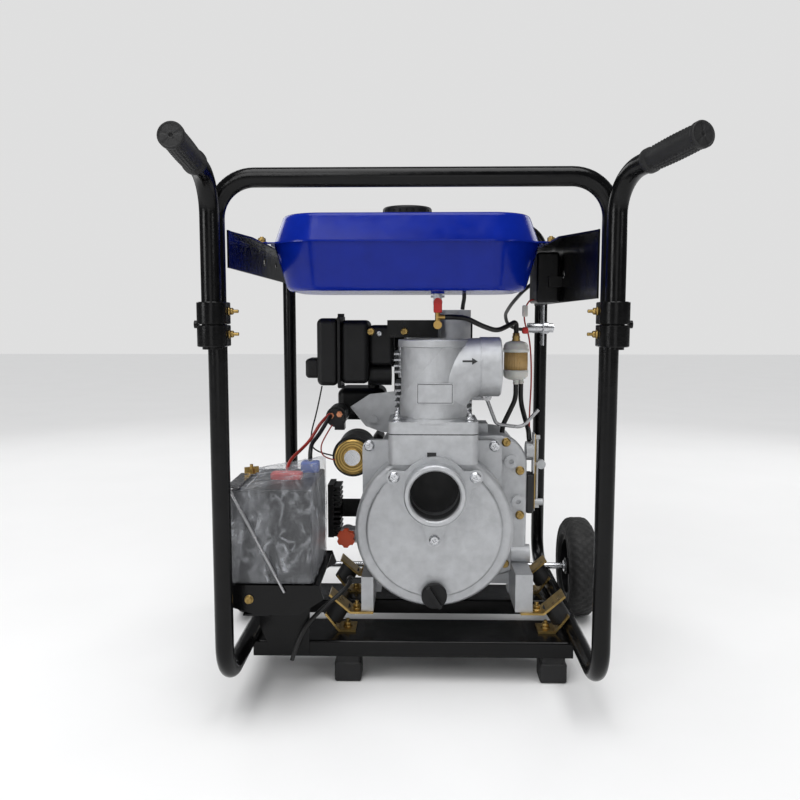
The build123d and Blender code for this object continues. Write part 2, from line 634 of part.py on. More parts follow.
def cylinder_block():
    """Crankcase, feet and finned cylinder in one casting, hollow for the crank."""
    case = plate_xz(case_outline(4), (0, BLOCK_BACK))
    case += box((CASE_X[0] - 4, CASE_X[1] + 3), (0, BLOCK_BACK), (140, 172))
    for y in ((-112, 0), (BLOCK_BACK - 45, BLOCK_BACK)):
        case += box((CASE_X[1] - 30, CASE_X[1] + 3), y, (ENGINE_FOOT_Z, 194))
        case += box((CASE_X[0] - 21, CASE_X[0] + 2), y, (ENGINE_FOOT_Z, 188))
    case += box((CASE_X[0] - 21, CASE_X[1] + 3), (BLOCK_BACK - 45, BLOCK_BACK), (ENGINE_FOOT_Z, 160))
    case += box((CASE_X[1] - 32, CASE_X[1] + 3), (-2, 30), (ENGINE_FOOT_Z, 200))
    case += box((CASE_X[0] - 21, CASE_X[0] + 12), (-2, 30), (ENGINE_FOOT_Z, 190))
    case += rod((CRANK_X, CYLINDER_Y, 440), (CRANK_X, CYLINDER_Y, 562), 55)
    for k in range(8):
        z = 462 + 12 * k
        case += box((CRANK_X - 78, CRANK_X + 78), (CYLINDER_Y - 72, CYLINDER_Y + 62), (z, z + 4))
    case += box((98, 150), (6, 60), (446, 470))
    lug = Polyline((-133, 497), (-92, 524), (-36, 530), (-36, 444), (-66, 444), (-101, 457), close=True)
    case += plate_xz(make_face(lug), (60, 68)) + disc_y(-84, 472, 8, (53, 61))
    case -= rod((CRANK_X, CYLINDER_Y, CRANK_Z), (CRANK_X, CYLINDER_Y, 563), 43)
    case -= disc_y(CRANK_X, CRANK_Z, 74, (14, BLOCK_BACK - 16))
    case -= disc_y(CRANK_X, CRANK_Z, 22 + RUNNING_GAP, (-1, BLOCK_BACK + 1))
    x, z = OIL_CAP
    case += disc_y(x, z, 16, (-34, 4)) + box((x, CASE_X[0] + 6), (-30, 4), (z - 13, z + 13))
    case -= disc_y(x, z, 9 + RUNNING_GAP, (-36, -8))
    return case - crankcase_cover()


def crankshaft():
    """Journals, two webs and the offset crank pin, with both output ends."""
    shaft = disc_y(CRANK_X, CRANK_Z, SHAFT_R, (-60, 20)) + disc_y(CRANK_X, CRANK_Z, 22, (0.5, 52))
    shaft += disc_y(CRANK_X, CRANK_Z, 22, (118, BLOCK_BACK + 2)) + disc_y(CRANK_X, CRANK_Z, 15, (150, 222))
    for y in ((52, 72), (98, 118)):
        web = Pos(CRANK_X, CRANK_Z - 6) * RectangleRounded(60, 116, 26)
        shaft += plate_xz(web, y)
    return shaft + disc_y(CRANK_X, CRANK_Z + 35, 21, (70, 100))


def flywheel():
    """Rim, fan blades and recoil cup, fixed to the rear end of the crank."""
    wheel = disc_y(CRANK_X, CRANK_Z, FLYWHEEL_R, FLYWHEEL_Y)
    wheel -= disc_y(CRANK_X, CRANK_Z, FLYWHEEL_R - 26, (FLYWHEEL_Y[0] - 1, FLYWHEEL_Y[0] + 12))
    for k in range(12):
        blade = Pos(86, 0, 0) * Rot(0, 22, 0) * Box(46, 18, 4)
        wheel += Pos(CRANK_X, FLYWHEEL_Y[1] + 8, CRANK_Z) * Rot(0, 30 * k, 0) * blade
    wheel += ring((CRANK_X, FLYWHEEL_Y[1], CRANK_Z), (CRANK_X, FLYWHEEL_Y[1] + 14, CRANK_Z), 48, 40)
    return wheel - disc_y(CRANK_X, CRANK_Z, 15, (FLYWHEEL_Y[0] - 1, 225))


def cooling_shroud():
    """Pressed fan housing round the flywheel, with the duct over cylinder and head."""
    low, high = BLOCK_BACK + 1, 238.0
    drum = disc_y(CRANK_X, CRANK_Z, 136, (low, high)) + box((-44, 128), (low, high), (CRANK_Z, 676))
    drum -= disc_y(CRANK_X, CRANK_Z, 134, (low + 2, high + 1))
    drum -= box((-42, 126), (low + 2, high - 2), (CRANK_Z + 60, 674))
    drum -= box((-30, 114), (low - 1, low + 3), (470, 650)) + disc_y(CRANK_X, CRANK_Z, 60, (low - 1, low + 3))
    roof = box((-52, 128), (43, low + 1), (670, 678)) + box((-52, 48), (-22, 60), (670, 678))
    return drum + roof + box((-52, 48), (-22, -19), (644, 672)) + box((-52, -49), (-21, 16), (644, 672))


def recoil_starter():
    """Dished cover on the fan housing with a rope outlet and slots for cooling air."""
    low = 238.0
    dish = disc_y(CRANK_X, CRANK_Z, 134, (low, low + 12))
    dish += disc_y(CRANK_X, CRANK_Z, 104, (low + 10, low + 42))
    dish = fillet(dish.edges().group_by(Axis.Y)[-1], 10)
    dish -= disc_y(CRANK_X, CRANK_Z, 131, (low - 1, low + 9))
    dish -= disc_y(CRANK_X, CRANK_Z, 101, (low - 1, low + 39))
    for k in range(18):
        a = radians(20 * k)
        place = Pos(CRANK_X + 78 * cos(a), low + 40, CRANK_Z + 78 * sin(a))
        dish -= place * Rot(0, -20 * k, 0) * Box(32, 14, 7)
    outlet = rod((-52, low + 22, 380), (-74, low + 22, 396), 14)
    start, along = ROPE
    return dish + outlet - rod(tuple(start - along * 60), tuple(start + along * 30), 6)


def recoil_handle():
    """T-shaped pull handle with the straight length of rope that lies inside the cover."""
    start, along = ROPE
    grip_bar = Pos(*(start + along * 11.5)) * Rot(0, 36, 0) * Box(22, 76, 24)
    grip_bar = fillet(grip_bar.edges(), 6)
    return grip_bar + rod(tuple(start - along * 95), tuple(start + along * 4), 3.5)


def oil_cap():
    x, z = OIL_CAP
    cap = disc_y(x, z, 9, (-46, -10)) + disc_y(x, z, 18, (-50, -34.4))
    for k in range(6):
        a = radians(60 * k)
        cap -= disc_y(x + 21 * cos(a), z + 21 * sin(a), 6, (-51, -34))
    return cap


def starter_motor():
    """Round body along the crankcase, front end cap with a centre boss, nose to the flywheel."""
    x, z = STARTER
    body = disc_y(x, z, 39, (-8, 118)) + disc_y(x, z, 41, (-14, -8)) + disc_y(x, z, 30, (118, 163))
    cap = disc_y(x, z, 37, (-24, -10))
    cap = fillet(cap.edges().group_by(Axis.Y)[0], 6)
    cap += disc_y(x, z, 19, (-31, -20))
    body += fillet(cap.edges().group_by(Axis.Y)[0], 2)
    body += box((x + 20, CASE_X[0] + 4), (100, 118), (z - 30, z + 10))
    return body


def starter_solenoid():
    x, z = SOLENOID
    body = disc_y(x, z, 21, (-4, 66)) + disc_y(x, z, 17, (-14, -4))
    for dx, dz in ((-9, 4), (8, 7)):
        body += disc_y(x + dx, z + dz, 4, (-26, -12)) + hex_y(x + dx, z + dz, 11, (-20, -15))
    return body + box((x - 6, x + 14), (20, 50), (z - 30, z - 12))


def voltage_regulator():
    """Finned aluminium block on a tab at the left of the engine."""
    block = box((-176, -164), (8, 70), (232, 342))
    for k in range(11):
        z = 234 + 10 * k
        block += box((-165, -150), (8, 70), (z, z + 3.5))
    return block + box((-164, CASE_X[0] + 4), (64, 68), (262, 300))


def air_cleaner():
    """Box in two halves with clips, an intake spout and the duct to the head."""
    left = rounded(box((-195, -152), (0, 108), (546, 682)), 12)
    right = rounded(box((-148, -90), (4, 104), (550, 678)), 12)
    seam = rounded(box((-153, -147), (-3, 111), (543, 685)), 2)
    body = left + right + seam
    body += rounded(box((-221, -190), (20, 84), (560, 600)), 8)
    body -= box((-222, -196), (26, 78), (566, 594))
    for z in (538, 684):
        body += box((-156, -144), (40, 60), (z, z + 7))
    body += rounded(box((-92, -40), (20, 80), (586, 668)), 10)
    body += rod((-92, 50, 566), (-46, 50, 566), 22)
    return body


def muffler():
    """Silencer on the left of the cylinder, behind the starter, with its outlet to the rear."""
    can = rounded(box((-165, -62), (112, 216), (462, 532)), 16)
    pipe = rod((-88, 136, 520), (-88, 136, 590), 13) + rod((-100, 136, 590), (-40, 136, 590), 13)
    outlet = ring((-120, 214, 497), (-120, 240, 497), 15, 12)
    return can + pipe - disc_y(-120, 497, 12, (209, 244)) + outlet


def injection_pump():
    """Fuel pump, governor bracket and linkage on the right side of the crankcase."""
    x = CASE_X[1]
    body = rod((x, 0, 416), (x + 15, 0, 416), 19) + rounded(box((x, x + 16), (-16, 26), (290, 370)), 5)
    body += box((x + 14, x + 18), (-14, 14), (296, 452))
    body += disc_y(x + 30, 390, 9, (-14, 2)) + rod((x + 16, -5, 390), (x + 30, -5, 390), 4)
    body += rod((x + 16, 0, 311), (x + 36, 0, 311), 7)
    body += rod((x + 23, 0, 448), (x + 23, 0, 300), 3)
    for z in (440, 300):
        body += box((x + 17, x + 28), (-5, 5), (z, z + 8))
    return body


def control_lever():
    """Bent steel rod that turns on its pivot beside the head."""
    x, y, z = LEVER_PIVOT
    arm = bar([(x, y, z - 6), (166, y, 470), (218, y, 464), (250, y, 500)], (14, 24), 3.5)
    return arm + disc_y(x, z, 9, (y - 5, y + 5)) - disc_y(x, z, 4 + RUNNING_GAP, (y - 6, y + 6))


# ---------------------------------------------------------------- engine mounts
def mount_nodes():
    """Four rubber blocks, each between two plates that rise outwards at 40 degrees."""
    rubber, plates = None, None
    for y in MOUNT_Y.values():
        for side in (-1, 1):
            def at(x, z):
                return (MOUNT_MID_X + side * (x - MOUNT_MID_X), z)
            upper_z, lower_z = ENGINE_FOOT_Z - MOUNT_SHEET / 2, CHANNEL_TOP + MOUNT_SHEET / 2
            upper = [at(206, upper_z), at(250, upper_z), at(290, upper_z + 35)]
            lower = [at(240, lower_z), at(272, lower_z), at(298, lower_z + 33)]
            plates = fuse(plates, strip_xz(upper, y, MOUNT_SHEET) + strip_xz(lower, y, MOUNT_SHEET))
            a, b = at(268, upper_z + 15), at(287, lower_z + 20)
            start, end = (a[0], y, a[1]), (b[0], y, b[1])
            block = rod(start, end, 20)
            rubber = fuse(rubber, block)
    save("mount_rubbers", rubber - plates)
    save("mount_brackets", plates)


def strip_xz(points, y, thickness):
    """Bent plate: thick polyline in XZ, MOUNT_W wide along Y and centred on y."""
    half = thickness / 2
    lines = None
    for a, b in zip(points, points[1:]):
        length, angle = hypot(b[0] - a[0], b[1] - a[1]), degrees(atan2(b[1] - a[1], b[0] - a[0]))
        piece = Pos((a[0] + b[0]) / 2, (a[1] + b[1]) / 2) * Rot(0, 0, angle) * Rectangle(length, thickness)
        lines = fuse(lines, piece)
    lines += Pos(*points[1]) * Circle(half)
    return plate_xz(lines, (y - MOUNT_W / 2, y + MOUNT_W / 2))


def zinc_bolts():
    """Yellow zinc fasteners: mounts, tank, handle clamps, engine cover and tray."""
    bolts = None
    for y in MOUNT_Y.values():
        for side in (-1, 1):
            for x, z in ((239, ENGINE_FOOT_Z), (257, CHANNEL_TOP + MOUNT_SHEET)):
                bolts = fuse(bolts, nut_z(MOUNT_MID_X + side * (x - MOUNT_MID_X), y, z, 13, 10, 5))
    for x, y in tank_bolt_spots():
        bolts += nut_z(x, y, TANK_SEAM_Z, 13, 8, 3)
    for side in (-1, 1):
        x, y = side * (HOOP_X - CLAMP_R), (STEM_Y - HOOP_Y) / 2
        for z in (657.0, 692.0):
            bolts += rod((x, y, z), (x - side * 7, y, z), 7) + rod((x, y, z), (x - side * 15, y, z), 3.5)
    for x, z in cover_bolt_spots():
        bolts += flange_bolt_y(x, z, -26.1, 9)
    bolts += flange_bolt_y(-273, 213, BATTERY_Y[0] - 7, 7.5)
    return bolts


# ---------------------------------------------------------------- battery
def battery_nodes():
    (x0, x1), (y0, y1), (z0, z1) = BATTERY_X, BATTERY_Y, BATTERY_Z
    case = rounded(box((x0, x1), (y0, y1), (z0, z1)), 4)
    caps = rounded(box((-250, -200), (-216, -190), (z1, z1 + 10)), 3)
    caps += rounded(box((-206, -176), (-150, -124), (z1, z1 + 18)), 3)
    save("battery", case + caps)

    wall = 3.0
    low, top = 186.0, 235.0
    floor_outline = Pos((x0 + x1) / 2 + 4, (y0 + y1) / 2) * Rectangle(x1 - x0 + 16, y1 - y0 + 8)
    tray = Pos(0, 0, top) * extrude(floor_outline, 3, dir=(0, 0, -1))
    front = make_face(Polyline((x0 - 4, top + 2), (x1 + 12, top + 2), (x1 + 20, 214), (-190, low),
                               (-262, low), (x0 - 4, 200), close=True))
    tray += plate_xz(front, (y0 - 4 - wall, y0 - 4))
    tray += plate_xz(front, (y1 + 4, y1 + 4 + wall))
    tray += box((x0 - 4, x0 - 1), (y0 - 5, y1 + 5), (200, top + 2))
    leg = make_face(Polyline((-286, 187), (-286, 112), (-262, 54), (-194, 54), (-190, 187), close=True))
    tray += plate_xz(leg, (FRONT_CHANNEL_Y[0] - wall, FRONT_CHANNEL_Y[0]))
    tray += box((-284, -240), (-290, y1 + 5), (184, 187)) + box((-284, -240), (y0 - 6, y1 + 6), (184, 187))
    save("battery_tray", tray)

    hold = box((x0 - 4, x0 + 18), (y0 - 13, -196), (403, 406))
    hold += nut_z(x0 + 16, -202, 406, 10, 9, 8)
    hold += Pos(x0 + 16, -202, 413) * Rot(0, 0, 30) * Box(26, 3, 11)
    hold += rod((x0, y0 - 9.6, 404), (-213, y0 - 9.6, 226), 2.5)
    save("battery_clamp", hold)

    skin = 0.8
    top = [(x1 + 2, 426), (-216, 416), (-258, 412), (x0 + 26, 402), (x0 - 2, 400)]
    lowered = [(x1 + 2 - skin, 426 - skin), (-216, 416 - skin), (-258, 412 - skin), (x0 + 26, 402 - skin),
               (x0 - 2 + skin, 400 - skin)]
    outer = make_face(Polyline((x0 - 2, z0 + 2), (x1 + 2, z0 + 2), *top, close=True))
    inner = make_face(Polyline((x0 - 2 + skin, z0), (x1 + 2 - skin, z0), *lowered, close=True))
    bag = plate_xz(outer, (y0 - 2, y1 + 2)) - plate_xz(inner, (y0 - 2 + skin, y1 + 2 - skin))
    bag -= rod((LEAD_END[0], LEAD_END[1], 410), (LEAD_END[0], LEAD_END[1], 430), 5)
    save("battery_bag", bag)


# ---------------------------------------------------------------- fuel and electrics
def fuel_nodes():
    pivot = COCK_PIVOT_Z
    cock = rod((COCK_X, COCK_Y, pivot - 16), (COCK_X, COCK_Y, TANK_BOTTOM_Z - 4), 8)
    cock += rod((COCK_X, COCK_Y, pivot + 9), (COCK_X, COCK_Y, pivot + 13), 13)
    cock += disc_y(COCK_X, pivot, 9, (COCK_Y - 12, COCK_Y + 8))
    cock += rod((COCK_X, COCK_Y, pivot - 48), (COCK_X, COCK_Y, pivot - 14), 5)
    cock += disc_y(COCK_X, pivot - 43, 8, (COCK_Y - 10, COCK_Y + 6))
    cock += rod((COCK_X, COCK_Y, pivot - 28), (COCK_X + 14, COCK_Y, pivot - 28), 5)
    cock -= disc_y(COCK_X, pivot, 4 + RUNNING_GAP, (COCK_Y - 13, COCK_Y - 4))
    save("fuel_cock", cock)
    lever = disc_y(COCK_X, pivot, 4, (COCK_Y - 22, COCK_Y - 5))
    lever += disc_y(COCK_X, pivot, 8, (COCK_Y - 21, COCK_Y - 12.4))
    lever += rounded(box((COCK_X - 8, COCK_X + 8), (COCK_Y - 21, COCK_Y - 14), (pivot - 20, pivot)), 2)
    save("fuel_cock_lever", lever)

    body = rod((FILTER_X, FILTER_Y, 556), (FILTER_X, FILTER_Y, 634), 26)
    body = fillet(body.edges(), 8)
    body += rod((FILTER_X, FILTER_Y, 630), (FILTER_X, FILTER_Y, 652), 9)
    body += rod((FILTER_X, FILTER_Y - 7, 546), (FILTER_X, FILTER_Y - 7, 560), 6)
    body += rod((FILTER_X + 12, FILTER_Y + 6, 546), (FILTER_X + 12, FILTER_Y + 6, 560), 6)
    body += ring((FILTER_X, FILTER_Y, 606), (FILTER_X, FILTER_Y, 618), 28, 25.5)
    save("fuel_filter", body)

    outlet_z = pivot - 28
    supply = limp([(COCK_X + 14.2, COCK_Y, outlet_z), (COCK_X + 32, COCK_Y, outlet_z),
                   (COCK_X + 56, COCK_Y + 18, 682), (COCK_X + 90, COCK_Y + 48, 666),
                   (COCK_X + 122, COCK_Y + 80, 656), (COCK_X + 150, COCK_Y + 108, 668),
                   (FILTER_X, FILTER_Y, 676), (FILTER_X, FILTER_Y, 652)], 5)
    down_a = limp([(FILTER_X, FILTER_Y - 7, 546), (FILTER_X, FILTER_Y - 7, 516),
                   (FILTER_X - 16, FILTER_Y - 20, 486), (FILTER_X - 28, FILTER_Y - 30, 464),
                   (FILTER_X - 30, FILTER_Y - 32, 448.2)], 5)
    down_b = limp([(FILTER_X + 12, FILTER_Y + 6, 546), (FILTER_X + 12, FILTER_Y + 6, 508),
                   (FILTER_X + 18, FILTER_Y - 16, 478), (FILTER_X + 22, FILTER_Y - 48, 456),
                   (FILTER_X + 22, FILTER_Y - 60, 437)], 5)
    overflow = limp([(100, 0, TANK_BOTTOM_Z - 0.5), (100, 1, 720), (98, 5, 709), (97, 6, 699)], 4)
    save("fuel_hoses", supply + down_a + down_b + overflow)


def electric_nodes():
    x = HOOP_X - 4
    strap = box((x, x + 3), (288, HOOP_Y - TUBE_R + 1), (618, 714))
    barrel = rod((x - 34, 304, 659), (x, 304, 659), 12)
    nuts = rod((x + 3, 304, 659), (x + 14, 304, 659), 14) + rod((x + 16, 304, 659), (x + 26, 304, 659), 11)
    nuts += rod((x + 10, 304, 659), (x + 20, 304, 659), 9)
    body = strap + barrel + nuts - rod((x + 12, 304, 659), (x + 27, 304, 659), 6 + RUNNING_GAP)
    save("key_switch", body - rod((HOOP_X, HOOP_Y, 600), (HOOP_X, HOOP_Y, 730), TUBE_R))
    core = rod((x + 13, 304, 659), (x + 28, 304, 659), 6) - box((x + 24, x + 29), (303, 305), (655, 663))
    save("key_core", core)

    panel = rounded(box((240, 284), (-20, 84), (712, 810)), 5)
    panel += box((262, 286.9), (-30, -18), (742, 762)) + box((284, 286.9), (0, 60), (730, 800))
    save("switch_box", panel)

    wires = limp([(x - 34, 304, 656), (x - 60, 304, 656), (x - 84, 286, 668), (x - 92, 262, 690),
                  (x - 86, 200, 712), (x - 66, 136, 742), (262, 108, 764), (262, 84.5, 765)], 4)
    x0, z0 = SOLENOID
    cable = limp([(x0 - 9, -26, z0 + 4), (x0 - 9, -46, z0 + 4), (x0 - 26, -82, z0 - 26), (-192, -112, 446),
                  (LEAD_END[0], LEAD_END[1], 432), LEAD_END], 4)
    clip = ring((CLIP[0], CLIP[1] - 6, CLIP[2]), (CLIP[0], CLIP[1] + 6, CLIP[2]), 7, 4)
    clip += box((CLIP[0] + 5, CASE_X[0] - 21), (CLIP[1] - 6, CLIP[1] + 6), (CLIP[2] - 5, CLIP[2] + 3))
    save("wire_harness", wires + cable + clip)
    save("loose_cable", limp(CABLE_ROUTE, 4))


frame_nodes()
wheel_nodes()
handle_nodes()
save("handle_clamps", clamp(-1) + clamp(1))
tank_nodes()
save("tank_brackets", tank_bracket(-1, 760.0) + tank_bracket(1, 712.0))
pump_nodes()
engine_nodes()
mount_nodes()
save("zinc_bolts", zinc_bolts())
battery_nodes()
fuel_nodes()
electric_nodes()

os.makedirs("parts", exist_ok=True)
for name, shape in parts.items():
    export_step(Pos(0, SHIFT_Y, 0) * shape, "parts/" + name + ".step")
print(len(parts), "nodes")
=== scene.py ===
"""Visual model of the engine-driven trash pump: finishes, detailed pieces, floor, light and camera."""

import json
from math import cos, hypot, pi, radians, sin

import bmesh
import bpy
import numpy as np
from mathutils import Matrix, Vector, noise
from mathutils.bvhtree import BVHTree


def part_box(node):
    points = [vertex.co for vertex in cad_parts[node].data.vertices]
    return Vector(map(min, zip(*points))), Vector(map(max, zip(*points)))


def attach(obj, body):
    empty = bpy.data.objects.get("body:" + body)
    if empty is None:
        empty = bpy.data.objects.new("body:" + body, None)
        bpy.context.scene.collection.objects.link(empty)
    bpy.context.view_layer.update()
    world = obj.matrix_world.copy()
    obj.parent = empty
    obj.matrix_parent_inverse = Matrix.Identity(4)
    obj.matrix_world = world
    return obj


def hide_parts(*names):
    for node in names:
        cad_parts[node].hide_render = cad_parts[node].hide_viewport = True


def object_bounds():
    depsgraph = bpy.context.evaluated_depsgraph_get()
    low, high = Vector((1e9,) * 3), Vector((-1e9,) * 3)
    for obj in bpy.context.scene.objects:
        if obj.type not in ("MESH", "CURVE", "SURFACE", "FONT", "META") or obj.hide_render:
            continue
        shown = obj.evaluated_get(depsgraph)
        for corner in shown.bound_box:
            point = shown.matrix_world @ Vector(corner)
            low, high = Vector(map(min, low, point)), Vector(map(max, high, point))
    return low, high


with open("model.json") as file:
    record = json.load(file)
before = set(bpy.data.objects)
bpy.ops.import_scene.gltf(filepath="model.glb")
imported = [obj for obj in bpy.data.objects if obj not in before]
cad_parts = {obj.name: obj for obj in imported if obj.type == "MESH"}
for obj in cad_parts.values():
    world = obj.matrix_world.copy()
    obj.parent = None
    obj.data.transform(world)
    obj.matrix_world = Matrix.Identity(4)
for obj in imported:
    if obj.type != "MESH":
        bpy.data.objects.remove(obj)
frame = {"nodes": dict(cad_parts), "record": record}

cad_low, cad_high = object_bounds()
NODES = frame["nodes"]

# ------------------------------------------------------------------ camera and the loose cable

CAMERA_AT = (0.011, -1.4934, 0.680)
CAMERA_TURN = (radians(84.2), 0.0, radians(1.3815))
LENS, SENSOR = 35.83, 36.0          # millimetres

CABLE_ROUTE = [
    (-0.122, 0.0026, 0.176), (-0.122, -0.0214, 0.175), (-0.134, -0.0414, 0.168), (-0.156, -0.0594, 0.154),
    (-0.180, -0.0754, 0.136), (-0.200, -0.0874, 0.113), (-0.212, -0.0954, 0.086), (-0.220, -0.0994, 0.060),
]
CABLE_DIAMETER = 0.008


def make_camera():
    """The photograph's viewpoint, in front of the suction port."""
    data = bpy.data.cameras.new("camera")
    data.lens = LENS
    data.sensor_width = SENSOR
    camera = bpy.data.objects.new("camera", data)
    camera.location = CAMERA_AT
    camera.rotation_euler = CAMERA_TURN
    bpy.context.scene.collection.objects.link(camera)
    bpy.context.scene.camera = camera


def nurbs_line(name, points, radius):
    """A round cord along one open NURBS spline whose control points are the route."""
    curve = bpy.data.curves.new(name, "CURVE")
    curve.dimensions = "3D"
    curve.bevel_depth = radius
    curve.bevel_resolution = 6
    curve.resolution_u = 16
    curve.use_fill_caps = True
    spline = curve.splines.new("NURBS")
    spline.points.add(len(points) - 1)
    for point, place in zip(spline.points, points):
        point.co = (*place, 1.0)
    spline.order_u = 3
    spline.use_endpoint_u = True
    obj = bpy.data.objects.new(name, curve)
    bpy.context.scene.collection.objects.link(obj)
    return obj


make_camera()
loose_cable = nurbs_line("loose_cable_jacket", CABLE_ROUTE, CABLE_DIAMETER / 2)

# ------------------------------------------------------------------ node materials


class Finish:
    """One procedural material: tone and roughness that drift over the surface, and a chain of bumps."""

    def __init__(self, name, rough, metallic=0.0, **fixed):
        self.mat = bpy.data.materials.new(name)
        self.mat.use_nodes = True
        self.tree = self.mat.node_tree
        self.bsdf = self.tree.nodes["Principled BSDF"]
        self.place = self.node("ShaderNodeTexCoord").outputs["Object"]
        self.bsdf.inputs["Metallic"].default_value = metallic
        for socket, value in fixed.items():
            self.bsdf.inputs[socket.replace("_", " ")].default_value = value
        self.normal = None
        self.color = None
        self.roughness(*rough)

    def node(self, kind, **values):
        """A new node with the given properties."""
        made = self.tree.nodes.new(kind)
        for name, value in values.items():
            setattr(made, name, value)
        return made

    def link(self, a, b):
        self.tree.links.new(a, b)

    def stretched(self, stretch):
        """The object's coordinates, scaled by stretch where it is given."""
        if stretch is None:
            return self.place
        mapping = self.node("ShaderNodeMapping")
        mapping.inputs["Scale"].default_value = stretch
        self.link(self.place, mapping.inputs["Vector"])
        return mapping.outputs["Vector"]

    def noise(self, scale, detail=4.0, stretch=None, low=0.3, high=0.7):
        """Noise between about 0 and 1; scale is in cycles a metre."""
        tex = self.node("ShaderNodeTexNoise")
        tex.inputs["Scale"].default_value = scale
        tex.inputs["Detail"].default_value = detail
        self.link(self.stretched(stretch), tex.inputs["Vector"])
        return self.ranged(tex.outputs["Fac"], low, high, 0.0, 1.0)

    def ranged(self, value, low, high, out_low, out_high):
        """Maps low..high to out_low..out_high, clamped."""
        made = self.node("ShaderNodeMapRange", clamp=True)
        self.link(value, made.inputs["Value"])
        numbers = {"From Min": low, "From Max": high, "To Min": out_low, "To Max": out_high}
        for name, number in numbers.items():
            made.inputs[name].default_value = number
        return made.outputs["Result"]

    def maths(self, operation, a, b):
        """One sum on two numbers or sockets."""
        made = self.node("ShaderNodeMath", operation=operation)
        for socket, value in zip(made.inputs, (a, b)):
            if isinstance(value, (int, float)):
                socket.default_value = value
            else:
                self.link(value, socket)
        return made.outputs["Value"]

    def both(self, first, second):
        """1 where both masks are 1."""
        return self.maths("MULTIPLY", first, second)

    def roughness(self, low, high, scale=45.0):
        """Roughness that drifts between low and high."""
        self.link(self.ranged(self.noise(scale), 0.0, 1.0, low, high), self.bsdf.inputs["Roughness"])

    def tone(self, first, second, factor):
        """Mixes second over first, or over the colour so far, by factor."""
        mix = self.node("ShaderNodeMix", data_type="RGBA")
        self.link(factor, mix.inputs["Factor"])
        if self.color is None:
            mix.inputs["A"].default_value = (*first, 1.0)
        else:
            self.link(self.color, mix.inputs["A"])
        mix.inputs["B"].default_value = (*second, 1.0)
        self.color = mix.outputs["Result"]
        self.link(self.color, self.bsdf.inputs["Base Color"])

    def bump(self, height, distance, strength=1.0):
        """Adds height to the bumps so far; distance is in metres."""
        made = self.node("ShaderNodeBump")
        made.inputs["Strength"].default_value = strength
        made.inputs["Distance"].default_value = distance
        self.link(height, made.inputs["Height"])
        if self.normal is not None:
            self.link(self.normal, made.inputs["Normal"])
        self.normal = made.outputs["Normal"]
        self.link(self.normal, self.bsdf.inputs["Normal"])

    def pores(self, scale, distance, strength=1.0):
        """Small round pits."""
        tex = self.node("ShaderNodeTexVoronoi")
        tex.inputs["Scale"].default_value = scale
        self.link(self.place, tex.inputs["Vector"])
        self.bump(self.ranged(tex.outputs["Distance"], 0.0, 0.45, 0.0, 1.0), distance, strength)

    def edges(self, color, radius=0.0012, amount=0.8):
        """Lighter colour where an outer edge is rubbed."""
        flat, sharp = 0.99, 0.80    # how well the rounded normal agrees with the true one
        bevel = self.node("ShaderNodeBevel", samples=4)
        bevel.inputs["Radius"].default_value = radius
        geometry = self.node("ShaderNodeNewGeometry")
        dot = self.node("ShaderNodeVectorMath", operation="DOT_PRODUCT")
        self.link(bevel.outputs["Normal"], dot.inputs[0])
        self.link(geometry.outputs["Normal"], dot.inputs[1])
        edge = self.ranged(dot.outputs["Value"], flat, sharp, 0.0, amount)
        self.tone(None, color, self.both(edge, self.noise(160.0, 3.0, low=0.35, high=0.6)))

    def dust(self, color, amount):
        """A thin film on surfaces that face up."""
        geometry = self.node("ShaderNodeNewGeometry")
        split = self.node("ShaderNodeSeparateXYZ")
        self.link(geometry.outputs["Normal"], split.inputs["Vector"])
        up = self.ranged(split.outputs["Z"], 0.5, 1.0, 0.0, amount)
        self.tone(None, color, self.both(up, self.noise(30.0, 5.0)))

    def zone(self, mask, color, rough, metallic):
        """Another finish where mask is 1, for a part made of more than one material, and for painted shade.
        """
        self.tone(None, color, mask)
        for name, value in (("Roughness", rough), ("Metallic", metallic)):
            target = self.bsdf.inputs[name]
            mix = self.node("ShaderNodeMix")
            self.link(mask, mix.inputs["Factor"])
            if target.is_linked:
                self.link(target.links[0].from_socket, mix.inputs["A"])
            else:
                mix.inputs["A"].default_value = target.default_value
            mix.inputs["B"].default_value = value
            self.link(mix.outputs["Result"], target)

    def along(self, axis):
        """The object's coordinate along an axis."""
        split = self.node("ShaderNodeSeparateXYZ")
        self.link(self.place, split.inputs["Vector"])
        return split.outputs[axis]

    def band(self, axis, low, high):
        """1 where the object's coordinate is between low and high."""
        value = self.along(axis)
        return self.both(self.maths("GREATER_THAN", value, low), self.maths("LESS_THAN", value, high))

    def disc(self, x, z, inner, outer):
        """1 between two radii round an axis along Y."""
        dx = self.maths("SUBTRACT", self.along("X"), x)
        dz = self.maths("SUBTRACT", self.along("Z"), z)
        square = self.maths("ADD", self.maths("MULTIPLY", dx, dx), self.maths("MULTIPLY", dz, dz))
        return self.both(self.maths("GREATER_THAN", square, inner * inner),
                         self.maths("LESS_THAN", square, outer * outer))


def shade(color, factor):
    return tuple(channel * factor for channel in color)


DUST = (0.30, 0.29, 0.27)
BLACK_PAINT = {"color": (0.0042, 0.0042, 0.0045), "rough": (0.26, 0.42), "drift": 0.20, "grain": 700.0,
               "depth": 0.00008}


